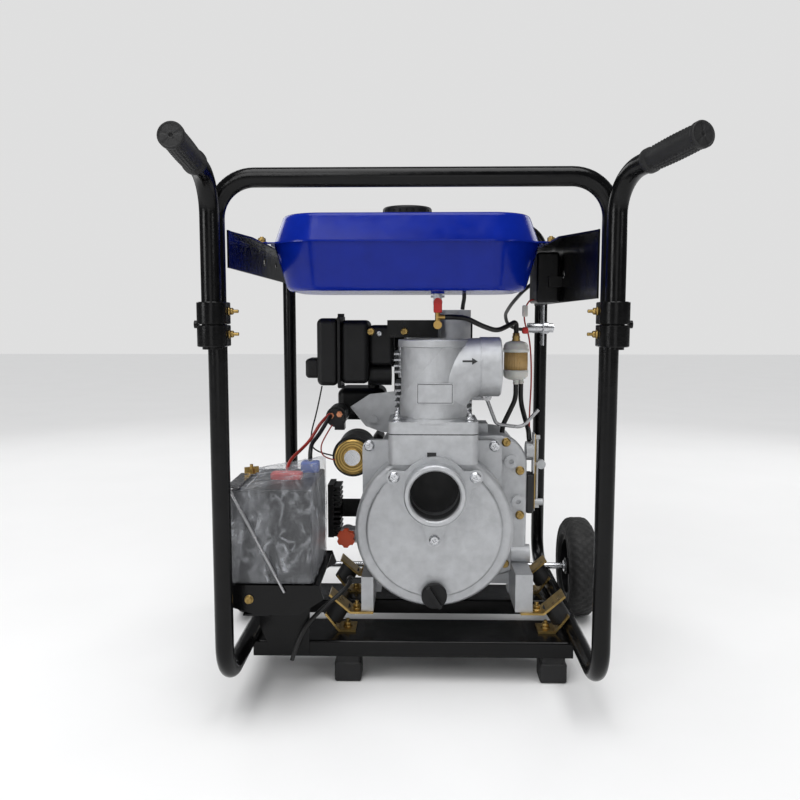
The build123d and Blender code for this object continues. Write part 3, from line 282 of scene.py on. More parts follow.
def simple(name, color, rough, metallic=0.0, drift=0.25, scale=35.0, grain=1200.0, depth=0.0001,
           wear=None, dust=0.0, pits=None, waves=None, **fixed):
    """The usual finish: drifting tone, fine grain, and where asked waves, pits, rubbed edges and dust.

    wear is colour, radius and amount; waves are scale and height; pits are scale, depth and strength.
    """
    made = Finish(name, rough, metallic, **fixed)
    made.tone(shade(color, 1.0 - drift), shade(color, 1.0 + drift), made.noise(scale, 5.0))
    if wear:
        made.edges(*wear)
    if dust:
        made.dust(DUST, dust)
    if waves:
        made.bump(made.noise(waves[0], 2.0), waves[1])
    if pits:
        made.pores(*pits)
    made.bump(made.noise(grain, 3.0), depth)
    return made


SLOTS = {
    "frame_black": simple("frame_black", (0.0022, 0.0022, 0.0024), (0.14, 0.26), grain=420.0, depth=0.00006,
                          waves=(24.0, 0.0003), wear=((0.04, 0.04, 0.04), 0.0010, 0.3), dust=0.008,
                          Specular_IOR_Level=0.20),
    "tank_blue": simple("tank_blue", (0.0022, 0.016, 0.265), (0.13, 0.24), drift=0.08, grain=500.0,
                        depth=0.00003, waves=(14.0, 0.0003), dust=0.008, Specular_IOR_Level=0.20),
    "cast_aluminium": simple("cast_aluminium", (0.50, 0.51, 0.525), (0.36, 0.50), 0.90, drift=0.08,
                             scale=60.0, grain=1500.0, depth=0.00022, waves=(70.0, 0.00035),
                             pits=(900.0, 0.00010, 0.6), wear=((0.80, 0.81, 0.83), 0.0012, 0.7), dust=0.03),
    "machined_aluminium": simple("machined_aluminium", (0.56, 0.57, 0.59), (0.24, 0.36), 0.95, drift=0.06,
                                 grain=2200.0, depth=0.00005, wear=((0.85, 0.85, 0.87), 0.0008, 0.6)),
    "zinc_yellow": simple("zinc_yellow", (0.38, 0.26, 0.09), (0.24, 0.40), 0.92, drift=0.28, scale=90.0,
                          grain=1600.0, depth=0.00006),
    "zinc_silver": simple("zinc_silver", (0.56, 0.57, 0.59), (0.16, 0.30), 0.96, drift=0.10, grain=1800.0,
                          depth=0.00005),
    "steel": simple("steel", (0.40, 0.40, 0.41), (0.22, 0.36), 0.94, drift=0.12, grain=1500.0, depth=0.00006),
    "cast_iron": simple("cast_iron", (0.030, 0.030, 0.031), (0.42, 0.62), 0.30, drift=0.30, grain=900.0,
                        depth=0.00030, waves=(80.0, 0.0004), wear=((0.16, 0.155, 0.15), 0.0012, 0.5),
                        dust=0.05),
    "rubber": simple("rubber", (0.009, 0.009, 0.0095), (0.46, 0.62), drift=0.20, grain=1400.0, depth=0.00010,
                     dust=0.02, Specular_IOR_Level=0.35),
    "tyre": simple("tyre", (0.017, 0.017, 0.017), (0.58, 0.78), drift=0.25, grain=1000.0, depth=0.00014,
                   dust=0.06, Specular_IOR_Level=0.35),
    "black_plastic": simple("black_plastic", (0.0065, 0.0065, 0.007), (0.36, 0.50), drift=0.18, grain=1900.0,
                            depth=0.00008, wear=((0.03, 0.03, 0.03), 0.0010, 0.4), dust=0.01,
                            Specular_IOR_Level=0.26),
    "black_sheet": simple("black_sheet", **BLACK_PAINT, waves=(30.0, 0.0003),
                          wear=((0.06, 0.06, 0.06), 0.0010, 0.4), dust=0.01, Specular_IOR_Level=0.22),
    "battery_black": simple("battery_black", (0.006, 0.006, 0.0065), (0.34, 0.48), drift=0.15, grain=1500.0,
                            depth=0.00009, Specular_IOR_Level=0.35),
    "clear_film": simple("clear_film", (0.62, 0.64, 0.68), (0.10, 0.24), drift=0.05, grain=500.0,
                         depth=0.00012, waves=(60.0, 0.0007), Specular_IOR_Level=0.8),
    "filter_white": simple("filter_white", (0.58, 0.58, 0.54), (0.25, 0.35), drift=0.06, grain=900.0,
                           depth=0.00004, Subsurface_Weight=0.1),
    "red_plastic": simple("red_plastic", (0.50, 0.014, 0.010), (0.34, 0.46), drift=0.08),
    "orange_plastic": simple("orange_plastic", (0.52, 0.060, 0.010), (0.36, 0.48), drift=0.08),
    "hose": simple("hose", (0.007, 0.007, 0.007), (0.32, 0.46), drift=0.15, grain=1300.0, depth=0.00008,
                   Specular_IOR_Level=0.4),
}
EXTRA = {
    "pleats_amber": simple("pleats_amber", (0.42, 0.27, 0.10), (0.30, 0.42), drift=0.15, grain=900.0,
                           depth=0.00006),
    "blue_plastic": simple("blue_plastic", (0.010, 0.075, 0.42), (0.34, 0.46), drift=0.08),
    "red_wire": simple("red_wire", (0.30, 0.020, 0.012), (0.34, 0.46), drift=0.12, grain=1300.0,
                       depth=0.00006),
    "print_black": simple("print_black", (0.012, 0.012, 0.013), (0.45, 0.60), drift=0.20, grain=1500.0,
                          depth=0.00005),
}


# Creases of the film: cells a metre, how wide the milky line of painted highlight is, and how high the bump
# is.
CREASES = ((22.0, 0.085, 0.006), (47.0, 0.10, 0.0012))
CREASE_BEND = (0.03, 0.03, 0.05)
CLEAREST = 0.09                     # alpha where the film is smooth and faces the eye


def film_clarity():
    """Clear film: faint where smooth, milky in streaks and where it is seen edge-on, with painted highlights
    as milky lines along the creases.
    """
    film = SLOTS["clear_film"]
    bent = film.node("ShaderNodeVectorMath", operation="MULTIPLY_ADD")
    wander = film.node("ShaderNodeTexNoise")
    wander.inputs["Scale"].default_value = CREASES[0][0]
    film.link(film.place, wander.inputs["Vector"])
    film.link(wander.outputs["Color"], bent.inputs[0])
    bent.inputs[1].default_value = CREASE_BEND
    film.link(film.stretched((1.0, 0.7, 0.38)), bent.inputs[2])
    crease_highlights = []
    for scale, width, lift in CREASES:
        cells = film.node("ShaderNodeTexVoronoi", feature="DISTANCE_TO_EDGE")
        cells.inputs["Scale"].default_value = scale
        film.link(bent.outputs["Vector"], cells.inputs["Vector"])
        # Milky line along each crease: a painted highlight of the fold.
        crease_highlights.append(film.ranged(cells.outputs["Distance"], 0.0, width, 1.0, 0.0))
        film.bump(film.ranged(cells.outputs["Distance"], 0.0, 0.5, 0.0, 1.0), lift)
    long_crease_highlights = film.both(crease_highlights[0], film.noise(26.0, 4.0, low=0.44, high=0.66))
    fine_crease_highlights = film.both(crease_highlights[1], film.noise(40.0, 3.0, low=0.48, high=0.70))
    streaks = film.noise(30.0, 6.0, (1.0, 1.0, 0.30), 0.48, 0.74)
    facing = film.node("ShaderNodeLayerWeight")
    facing.inputs["Blend"].default_value = 0.35
    # Alpha: painted highlights along the creases, plus milky streaks and milkiness where the film is seen
    # edge-on.
    haze_and_highlights = film.maths("MULTIPLY", long_crease_highlights, 0.38)
    for part, share in ((fine_crease_highlights, 0.26), (streaks, 0.26), (facing.outputs["Facing"], 0.22)):
        haze_and_highlights = film.maths("ADD", haze_and_highlights, film.maths("MULTIPLY", part, share))
    film.link(film.maths("ADD", haze_and_highlights, CLEAREST), film.bsdf.inputs["Alpha"])


# Zones of another material inside a part, and zones of painted shade in the starter cap's grooves and the
# suction bore. Each starts a little outside the part's own surface.
OUTSIDE = 0.001
BRIGHT_ZINC, COPPER, CAP_YELLOW = (0.56, 0.57, 0.59), (0.60, 0.27, 0.15), (0.46, 0.31, 0.10)
STARTER_RADIUS = 0.041
CAP_RADIUS, CAP_DEPTH = 0.036, 0.020
CAP_GROOVES, GROOVE_WIDTH = (0.0205, 0.0255, 0.0305), 0.0012
BOSS_RADIUS, BOSS_DEPTH = 0.016, 0.009
SOLENOID_STUDS = 0.0118
PLATE_HEIGHT, PLATE_REACH = 0.082, 0.0165
BRACKET_FOOT, BRACKET_REACH = 0.01, 0.0185
FLAP_RADIUS, BORE_RADIUS = 0.050, 0.0465
# Where the painted shade in the suction bore begins and where it is full, measured behind the flange's tip.
BORE_SHADE_FROM, BORE_SHADE_TO = 0.004, 0.020
WING_NUT_HEIGHT = 0.0165
BANJO_HEIGHT = 0.034


def starter_zones():
    """The starter's end cap is yellow zinc round a silver boss, with painted shade in dark rings for its
    grooves; the solenoid's studs are copper.
    """
    made = simple("starter_black", **BLACK_PAINT, Specular_IOR_Level=0.35)
    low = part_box("starter_motor")[0]
    x, z, front = low.x + STARTER_RADIUS, low.z + STARTER_RADIUS, low.y
    cap = made.band("Y", front - OUTSIDE, front + CAP_DEPTH)
    made.zone(made.both(cap, made.disc(x, z, 0.0, CAP_RADIUS)), CAP_YELLOW, 0.30, 0.92)
    # Painted shade: dark rings where the cap's grooves are, a shaded copy of the cap's yellow zinc.
    for ring in CAP_GROOVES:
        groove_shade = made.disc(x, z, ring, ring + GROOVE_WIDTH)
        made.zone(made.both(cap, groove_shade), (0.10, 0.065, 0.02), 0.45, 0.6)
    boss = made.band("Y", front - OUTSIDE, front + BOSS_DEPTH)
    made.zone(made.both(boss, made.disc(x, z, 0.0, BOSS_RADIUS)), BRIGHT_ZINC, 0.25, 0.95)
    solenoid = simple("solenoid_black", **BLACK_PAINT, Specular_IOR_Level=0.35)
    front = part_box("starter_solenoid")[0].y
    solenoid.zone(solenoid.band("Y", front - OUTSIDE, front + SOLENOID_STUDS), COPPER, 0.32, 0.9)
    return {"starter_motor": made, "starter_solenoid": solenoid}


def injection_zones():
    """Cast body, black plate at its foot and a yellow zinc bracket."""
    made = simple("pump_body_alloy", (0.46, 0.47, 0.48), (0.34, 0.48), 0.90, drift=0.10, grain=1500.0,
                  depth=0.0002, wear=((0.8, 0.8, 0.82), 0.001, 0.6))
    low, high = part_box("injection_pump")
    plate = made.both(made.band("Z", low.z - OUTSIDE, low.z + PLATE_HEIGHT),
                      made.band("X", low.x - OUTSIDE, low.x + PLATE_REACH))
    made.zone(plate, (0.006, 0.006, 0.0065), 0.40, 0.0)
    bracket = made.both(made.band("X", low.x + PLATE_REACH, low.x + BRACKET_REACH),
                        made.band("Z", low.z + BRACKET_FOOT, high.z))
    made.zone(bracket, (0.40, 0.27, 0.09), 0.32, 0.92)
    return {"injection_pump": made}


def port_zones():
    """Painted shade in the bore of the suction port behind its turned mouth, darker the deeper it goes."""
    made = simple("port_alloy", (0.50, 0.51, 0.525), (0.34, 0.48), 0.90, drift=0.08, scale=60.0, grain=1500.0,
                  depth=0.00020, waves=(70.0, 0.0003), wear=((0.80, 0.81, 0.83), 0.0012, 0.7))
    low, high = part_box("suction_flap")
    x, z = (low.x + high.x) / 2, low.z + FLAP_RADIUS
    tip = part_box("suction_flange")[0].y
    # Painted shade: the bore darkens from its mouth inwards.
    bore_shade = made.ranged(made.along("Y"), tip + BORE_SHADE_FROM, tip + BORE_SHADE_TO, 0.0, 0.95)
    made.zone(made.both(bore_shade, made.disc(x, z, 0.0, BORE_RADIUS)), (0.012, 0.012, 0.012), 0.45, 0.2)
    return {"suction_flange": made}


def clamp_zones():
    """The battery's wing nut is brass; the bar and its bent rod are bright steel."""
    made = simple("clamp_steel", (0.40, 0.40, 0.41), (0.20, 0.34), 0.94, drift=0.12, grain=1500.0,
                  depth=0.00006)
    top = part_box("battery_clamp")[1].z
    made.zone(made.band("Z", top - WING_NUT_HEIGHT, top + OUTSIDE), (0.45, 0.30, 0.10), 0.28, 0.92)
    return {"battery_clamp": made}


def cock_zones():
    """Zinc tap body with a brass banjo below."""
    made = simple("cock_zinc", BRIGHT_ZINC, (0.20, 0.34), 0.95, drift=0.10, grain=1500.0, depth=0.00006)
    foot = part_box("fuel_cock")[0].z
    made.zone(made.band("Z", foot - OUTSIDE, foot + BANJO_HEIGHT), (0.48, 0.31, 0.10), 0.28, 0.92)
    return {"fuel_cock": made}


film_clarity()
OWN_FINISH = {**starter_zones(), **injection_zones(), **port_zones(), **clamp_zones(), **cock_zones()}
MATERIAL_OF = {part["node"]: part["material_slot"] for part in frame["record"]["subparts"]}
for node, obj in NODES.items():
    obj.data.materials.clear()
    obj.data.materials.append(OWN_FINISH.get(node, SLOTS[MATERIAL_OF[node]]).mat)

# ------------------------------------------------------------------ mesh pieces


def grid_faces(rows, columns, closed):
    """Quads of a grid of points; closed joins each row's last point to its first."""
    faces = []
    for i in range(rows - 1):
        for j in range(columns if closed else columns - 1):
            k = (j + 1) % columns
            faces.append((i * columns + j, i * columns + k, (i + 1) * columns + k, (i + 1) * columns + j))
    return faces


def make(name, points, faces, finish, body="frame"):
    """A smooth mesh piece that rides on a body."""
    mesh = bpy.data.meshes.new(name)
    mesh.from_pydata([tuple(p) for p in points], [], faces)
    mesh.materials.append(finish.mat)
    mesh.polygons.foreach_set("use_smooth", [True] * len(mesh.polygons))
    mesh.update()
    obj = bpy.data.objects.new(name, mesh)
    bpy.context.scene.collection.objects.link(obj)
    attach(obj, body)
    return obj


class Batch:
    """Points and faces of many small parts, made into one piece."""

    def __init__(self):
        self.points = []
        self.faces = []

    def add(self, points, faces):
        first = len(self.points)
        self.points += points
        self.faces += [tuple(first + i for i in face) for face in faces]

    def make(self, name, finish, slot, body="frame"):
        return make(name, self.points, self.faces, finish, body)


def crossways(along):
    """Two directions at right angles to along and to each other."""
    across = along.cross(Vector((0.31, 0.17, 1.0))).normalized()
    return across, along.cross(across)


def turned(origin, along, profile, columns, change=None):
    """Points and faces turned round an axis from (distance, radius) pairs.

    change(distance, radius, angle) gives each point's new distance and radius.
    """
    along = along.normalized()
    across, third = crossways(along)
    points = []
    for d, r in profile:
        for j in range(columns):
            a = 2 * pi * j / columns
            dd, rr = change(d, r, a) if change else (d, r)
            points.append(origin + along * dd + (across * cos(a) + third * sin(a)) * rr)
    faces = grid_faces(len(profile), columns, True)
    faces.append(tuple(range(columns))[::-1])
    last = (len(profile) - 1) * columns
    faces.append(tuple(range(last, last + columns)))
    return points, faces


def cad_points(node):
    """Every vertex of a CAD node, one a row."""
    mesh = NODES[node].data
    points = np.empty(len(mesh.vertices) * 3)
    mesh.vertices.foreach_get("co", points)
    return points.reshape(-1, 3)


def islands(node):
    """Lowest and highest corners of each separate solid of a CAD node."""
    work = bmesh.new()
    work.from_mesh(NODES[node].data)
    bmesh.ops.remove_doubles(work, verts=work.verts, dist=1e-6)
    left = set(work.verts)
    boxes = []
    while left:
        stack, found = [left.pop()], []
        while stack:
            vert = stack.pop()
            found.append(vert.co.copy())
            for edge in vert.link_edges:
                other = edge.other_vert(vert)
                if other in left:
                    left.remove(other)
                    stack.append(other)
        array = np.array(found)
        boxes.append((Vector(array.min(axis=0)), Vector(array.max(axis=0))))
    work.free()
    return sorted(boxes, key=lambda pair: tuple(pair[0]))


# ------------------------------------------------------------------ fasteners


def hexagon(angle):
    """Radius of a hexagon over its apothem."""
    return 1.0 / cos((angle + pi / 6) % (pi / 3) - pi / 6)


def flange_head(batch, seat, out, radius, height):
    """Washer face, hexagon with a worn chamfer and a cross recess in a dished top."""
    flat, dish = radius * 0.775, 0.74
    recess_half, recess_reach, recess_depth = radius * 0.085, radius * 0.42, 0.0016

    def change(d, r, a):
        if r > flat * 1.02 or d < 0.0018:
            return d, r
        wide = r * hexagon(a) if r > flat * 0.75 else r
        if r < flat * 0.75:
            x, y = abs(r * cos(a)), abs(r * sin(a))
            if min(x, y) < recess_half and max(x, y) < recess_reach:
                return d - recess_depth, wide
        return d, wide

    profile = [(-0.0004, radius), (0.0011, radius), (0.0017, radius * 0.95), (0.0019, flat),
               (height - 0.0009, flat), (height - 0.0001, flat * 0.90), (height, flat * 0.86),
               (height - 0.0005, flat * dish)]
    profile += [(height - 0.0006, flat * dish * (11 - k) / 12) for k in range(11)]
    batch.add(*turned(seat, out, profile, 48, change))


def nut_and_stud(batch, seat, out, radius, reach):
    """Washer, chamfered nut and the end of a threaded stud."""
    flat, stud = radius / 1.5, radius * 0.40
    top = 0.0019 + min(0.62 * reach, 1.1 * flat)

    def change(d, r, a):
        nut = 0.0018 < d <= top + 1e-6 and r > stud * 1.2
        return d, r * hexagon(a) if nut and abs(r - flat) < 1e-6 else r

    profile = [(-0.0004, radius), (0.0012, radius), (0.0017, radius * 0.96), (0.0019, flat * 0.98),
               (0.0022, flat), (top - 0.0010, flat), (top, flat * 0.93), (top, stud * 1.15),
               (top - 0.0004, stud)]
    pitch = 0.00125
    for k in range(int((reach - top) / pitch)):
        profile += [(top + pitch * k, stud * 0.88), (top + pitch * (k + 0.5), stud)]
    profile += [(reach - 0.0004, stud * 0.9), (reach, stud * 0.7), (reach, stud * 0.1)]
    batch.add(*turned(seat, out, profile, 36, change))


def fasteners(node, name, slot):
    """Every bolt head and nut of a CAD node, with real heads, recesses and threads, in the same places."""
    batch = Batch()
    for low, high in islands(node):
        size = high - low
        pairs = {"X": abs(size.y - size.z), "Y": abs(size.x - size.z), "Z": abs(size.x - size.y)}
        axis = min(pairs, key=pairs.get)
        middle = (low + high) / 2
        if axis == "Y":
            seat = Vector((middle.x, high.y, middle.z))
            flange_head(batch, seat, Vector((0, -1, 0)), size.x / 2, size.y)
        elif axis == "Z":
            seat = Vector((middle.x, middle.y, low.z))
            nut_and_stud(batch, seat, Vector((0, 0, 1)), size.x / 2, size.z)
        else:
            inward = -1.0 if middle.x > 0 else 1.0
            seat = Vector((low.x if inward > 0 else high.x, middle.y, middle.z))
            nut_and_stud(batch, seat, Vector((inward, 0, 0)), size.y / 2, size.x)
    piece = batch.make(name, SLOTS[slot], slot)
    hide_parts(node)


def loose_screws():
    """Further heads on the covers, seated on faces that the CAD gives."""
    yellow, silver = Batch(), Batch()
    low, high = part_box("cooling_shroud")
    for x, z in ((low.x + 0.012, high.z - 0.022), (low.x + 0.078, high.z - 0.022)):
        flange_head(yellow, Vector((x, low.y, z)), Vector((0, -1, 0)), 0.0075, 0.0055)
    low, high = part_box("air_cleaner")
    seat = Vector((high.x - 0.030, low.y + 0.0236, high.z - 0.040))
    flange_head(silver, seat, Vector((0, -1, 0)), 0.006, 0.004)
    low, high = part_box("rocker_cover")
    for x in (low.x + 0.024, high.x - 0.038):
        for y in (low.y + 0.030, high.y - 0.024):
            flange_head(silver, Vector((x, y, low.z + 0.036)), Vector((0, 0, 1)), 0.008, 0.006)
    yellow.make("shroud_screws", SLOTS["zinc_yellow"], "zinc_yellow")
    silver.make("cover_screws", SLOTS["zinc_silver"], "zinc_silver")


fasteners("pump_bolts", "pump_bolt_heads", "zinc_silver")
fasteners("zinc_bolts", "yellow_fasteners", "zinc_yellow")
loose_screws()

# ------------------------------------------------------------------ grips and tyres


GRIP_RADIUS = 0.018
NUB_PITCH, NUB_ROW, NUB_RADIUS, NUB_HEIGHT = 0.0062, 0.005, 0.0019, 0.0012
NUB_BAND = 0.0125                   # how far the nubs go round from the grip's top and bottom
COLLAR_LENGTH, FLANGE_LENGTH = 0.016, 0.012
END_DISH, STAR_DEPTH = 0.0012, 0.0007
RING_STEP = 0.0009                  # fine enough for the nubs


def grip(node, body):
    """Moulded rubber grip: collar, rows of round nubs above and below, flanged end with a centre hole."""
    points = cad_points(node)
    centre = points.mean(axis=0)
    axis = np.linalg.svd(points - centre, full_matrices=False)[2][0]
    if axis[1] > 0:
        axis = -axis
    reach = (points - centre) @ axis
    start = Vector(centre + axis * reach.min())
    along = Vector(axis)
    length = float(reach.max() - reach.min())
    up = (Vector((0, 0, 1)) - along * along.z).normalized()
    across, third = crossways(along)
    turn = float(np.arctan2(up.dot(third), up.dot(across)))

    def change(d, r, a):
        if d > length - 0.0008 and r < GRIP_RADIUS * 0.86:
            star = STAR_DEPTH * max(0.0, cos(5 * (a - turn))) if r > GRIP_RADIUS * 0.28 else 0.0
            return d - END_DISH - star, r
        if not COLLAR_LENGTH < d < length - FLANGE_LENGTH:
            return d, r
        side = (a - turn + pi) % (2 * pi) - pi
        arc = min(abs(side), pi - abs(side)) * GRIP_RADIUS
        if arc > NUB_BAND:
            return d, r
        u = ((d / NUB_PITCH) % 1.0 - 0.5) * NUB_PITCH
        v = ((arc / NUB_ROW + 0.5) % 1.0 - 0.5) * NUB_ROW
        bump = max(0.0, 1.0 - (u * u + v * v) / NUB_RADIUS ** 2)
        return d, r + NUB_HEIGHT * bump ** 0.5

    rings = int((length - 0.026) / RING_STEP)
    profile = [(0.0, 0.0154), (0.0, 0.0168), (0.0012, 0.0178), (0.0080, 0.0178), (0.0115, 0.0160)]
    for k in range(rings + 1):
        t = k / rings
        profile.append((0.0125 + (length - 0.0215) * t, 0.0158 + 0.0009 * sin(pi * t)))
    profile += [(length - 0.0080, 0.0166), (length - 0.0066, 0.0178), (length - 0.0014, 0.0178),
                (length, 0.0166)]
    profile += [(length, GRIP_RADIUS * k / 24) for k in range(21, 3, -1)]
    profile += [(length - 0.0040, GRIP_RADIUS * 3.4 / 24), (length - 0.0042, 0.0004)]
    points, faces = turned(start, along, profile, 132, change)
    piece = make(node + "_moulding", points, faces, SLOTS["rubber"], body)
    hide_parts(node)


# The tyre's side in millimetres from its middle plane and its axis, on a tyre of the size below.
SIDE_SECTION = [(-25.0, 68.2), (-28.5, 70.0), (-31.2, 74.5), (-31.8, 80.0), (-31.0, 81.0), (-31.0, 88.0),
                (-31.8, 89.0), (-31.8, 95.0), (-30.6, 98.0)]
SECTION_HALF, SECTION_RADIUS = 32.0, 112.0
DIAMONDS, TYRE_COLUMNS, CROWN_STEPS = 36, 432, 16
TREAD_DEPTH, TREAD_FROM = 0.0016, 0.865
SHOULDER_DROP = 0.0145


def tyre(node, body):
    """Solid tyre with a tread of small diamonds and a ribbed, stepped side."""
    low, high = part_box(node)
    radius, half = (high.z - low.z) / 2, (high.x - low.x) / 2
    cell = 2 * pi * radius / DIAMONDS

    def change(d, r, a):
        if r < radius * TREAD_FROM:
            return d, r
        u, v = a * radius / cell, d / cell
        wave = cos(2 * pi * (u + v)) + cos(2 * pi * (u - v))
        groove_shade = 0.5 - 0.5 * max(-1.0, min(1.0, wave * 2.4))
        return d, r - TREAD_DEPTH * groove_shade

    side = [(d / SECTION_HALF * half, r / SECTION_RADIUS * radius) for d, r in SIDE_SECTION]
    crown = []
    for k in range(2 * CROWN_STEPS + 1):
        t = -1.0 + k / CROWN_STEPS
        crown.append((t * half * 0.93, radius - SHOULDER_DROP * abs(t) ** 4.5))
    profile = side + crown + [(-d, r) for d, r in reversed(side)]
    points, faces = turned((low + high) / 2, Vector((1, 0, 0)), profile, TYRE_COLUMNS, change)
    last = len(points) - TYRE_COLUMNS
    faces = faces[:-2]              # the two end caps; the bore joins the rings instead
    for k in range(TYRE_COLUMNS):
        beside = (k + 1) % TYRE_COLUMNS
        faces.append((k, beside, last + beside, last + k))
    piece = make(node + "_tread", points, faces, SLOTS["tyre"], body)
    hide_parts(node)


for side in ("left", "right"):
    grip(side + "_grip", side + "_handle")
    tyre(side + "_tyre", side + "_wheel")

# ------------------------------------------------------------------ battery: bag and boots


def pillow(name, low, high, finish, power=0.32):
    """Moulded cap: a box with every edge and corner well rounded."""
    middle, half = (low + high) / 2, (high - low) / 2
    rows, columns = 21, 40
    points = []

    def bent(value):
        return (abs(value) ** power) * (1 if value >= 0 else -1)

    for i in range(rows):
        b = -pi / 2 + pi * i / (rows - 1)
        for j in range(columns):
            a = 2 * pi * j / columns
            offset = (bent(cos(b)) * bent(cos(a)), bent(cos(b)) * bent(sin(a)), bent(sin(b)))
            points.append(middle + Vector([h * o for h, o in zip(half, offset)]))
    return make(name, points, grid_faces(rows, columns, True), finish)


def crumple(p):
    """Height of the film's crumples, from 0 to about 1, with sharp ridges."""
    total = 0.0
    for weight, scale, shift in ((0.55, 26.0, 3.1), (0.30, 58.0, 11.7), (0.15, 130.0, 23.3)):
        q = Vector((p.x * scale + shift, p.y * scale - shift, p.z * scale * 0.62 + shift))
        total += weight * (1.0 - min(1.0, 2.2 * abs(noise.noise(q))))
    return total


def ridge(p, a, b, width):
    """1 on the line from a to b in the XZ plane, falling to 0 at width."""
    ax, az, bx, bz = *a, *b
    length = hypot(bx - ax, bz - az)
    t = ((p.x - ax) * (bx - ax) + (p.z - az) * (bz - az)) / length ** 2
    t = min(1.0, max(0.0, t))
    away = hypot(p.x - ax - t * (bx - ax), p.z - az - t * (bz - az))
    return max(0.0, 1.0 - away / width)


FILM_INSET, FILM_LEAST, FILM_MOST = 0.0004, 0.0004, 0.0052
SIDE_CRUMPLE, ROOF_CRUMPLE = 0.0030, 0.0042
BAG_CORNER, BAG_AROUND, BAG_ROWS, BAG_CLOSING = 0.007, 236, 58, 26
# Long folds on the front: from and to in X and Z, half width and height.
FOLDS = (
    ((-0.206, 0.398), (-0.224, 0.246), 0.010, 0.0040),
    ((-0.298, 0.386), (-0.236, 0.396), 0.007, 0.0030),
    ((-0.300, 0.246), (-0.258, 0.330), 0.007, 0.0030),
    ((-0.300, 0.243), (-0.240, 0.292), 0.007, 0.0028),
    ((-0.298, 0.250), (-0.286, 0.345), 0.007, 0.0026),
    ((-0.186, 0.400), (-0.176, 0.252), 0.008, 0.0030),
    ((-0.246, 0.392), (-0.262, 0.300), 0.007, 0.0022),
)


def bag():
    """Clear poly bag pulled down over the battery into its tray, crumpled, with a few long folds."""
    low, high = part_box("battery_bag")
    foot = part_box("battery_tray")[1].z + 0.002
    x0, x1 = low.x + FILM_INSET, high.x - FILM_INSET
    y0, y1 = low.y + FILM_INSET, high.y - FILM_INSET
    left_top, right_top = high.z - 0.026, high.z
    corner = BAG_CORNER

    def outline(k):
        """Point and outward direction round a rectangle with rounded corners."""
        flat_x, flat_y = x1 - x0 - 2 * corner, y1 - y0 - 2 * corner
        arc = pi * corner / 2
        s = (2 * flat_x + 2 * flat_y + 4 * arc) * k / BAG_AROUND
        turns = ((x1 - corner, y0 + corner, -pi / 2, flat_x), (x1 - corner, y1 - corner, 0.0, flat_y),
                 (x0 + corner, y1 - corner, pi / 2, flat_x), (x0 + corner, y0 + corner, pi, flat_y))
        for cx, cy, turn, run in turns:
            ahead = Vector((-sin(turn), cos(turn), 0.0))
            if s < run:
                corner_start = Vector((cx + corner * cos(turn), cy + corner * sin(turn), 0.0))
                return corner_start - ahead * (run - s), Vector((cos(turn), sin(turn), 0.0))
            s -= run
            if s < arc:
                a = turn + s / corner
                place = Vector((cx + corner * cos(a), cy + corner * sin(a), 0.0))
                return place, Vector((cos(a), sin(a), 0.0))
            s -= arc
        raise ValueError("outline")

    def roof(x):
        """Height of the bag's top, which rises to the right."""
        across = min(1.0, max(0.0, (x - x0) / (x1 - x0)))
        return left_top + (right_top - left_top) * across ** 1.15 - 0.001

    points = []
    for i in range(BAG_ROWS):
        t = i / (BAG_ROWS - 1)
        near_top, near_foot = min(1.0, 4.0 * (1.0 - t) + 0.25), min(1.0, 5 * t + 0.15)
        for k in range(BAG_AROUND):
            place, outward = outline(k)
            place.z = foot + (roof(place.x) - 0.004 - foot) * t
            lift = FILM_LEAST + SIDE_CRUMPLE * crumple(place) * near_top * near_foot
            if outward.y < -0.5:
                fold = max(height * ridge(place, a, b, width) for a, b, width, height in FOLDS)
                lift += fold * min(1.0, 6 * (1 - t))
            points.append(place + outward * min(lift, FILM_MOST))
    middle_y = (y0 + y1) / 2
    for i in range(BAG_CLOSING):
        t = i / (BAG_CLOSING - 1)
        for k in range(BAG_AROUND):
            place, _ = outline(k)
            inner = Vector((min(x1 - 0.05, max(x0 + 0.05, place.x)), middle_y, 0.0))
            spot = place.lerp(inner, t)
            near_bar = spot.x < x0 + 0.030 and spot.y < y0 + 0.115
            lift = ROOF_CRUMPLE * crumple(Vector((spot.x, spot.y, 0.4))) * min(1.0, 6.0 * t)
            rounding = 0.0035 * max(0.0, 1.0 - 8 * t)
            spot.z = min(roof(spot.x) + (0.0 if near_bar else lift) - rounding, high.z + 0.004)
            if near_bar:
                spot.z = min(spot.z, left_top + 0.0015)
            points.append(spot)
    faces = grid_faces(BAG_ROWS + BAG_CLOSING, BAG_AROUND, True)
    piece = make("battery_bag_film", points, faces, SLOTS["clear_film"])
    work = bmesh.new()
    work.from_mesh(piece.data)
    bmesh.ops.remove_doubles(work, verts=work.verts, dist=1e-5)
    work.to_mesh(piece.data)
    work.free()
    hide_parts("battery_bag")
    return piece


bag_film = bag()
case_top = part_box("battery")[1].z
pillow("red_terminal_boot", Vector((-0.252, -0.1168, case_top - 0.020)),
       Vector((-0.196, -0.0876, case_top - 0.006)), SLOTS["red_plastic"])
pillow("blue_terminal_boot", Vector((-0.208, -0.0510, case_top - 0.020)),
       Vector((-0.174, -0.0218, case_top + 0.002)), EXTRA["blue_plastic"])

# ------------------------------------------------------------------ fuel filter and wires


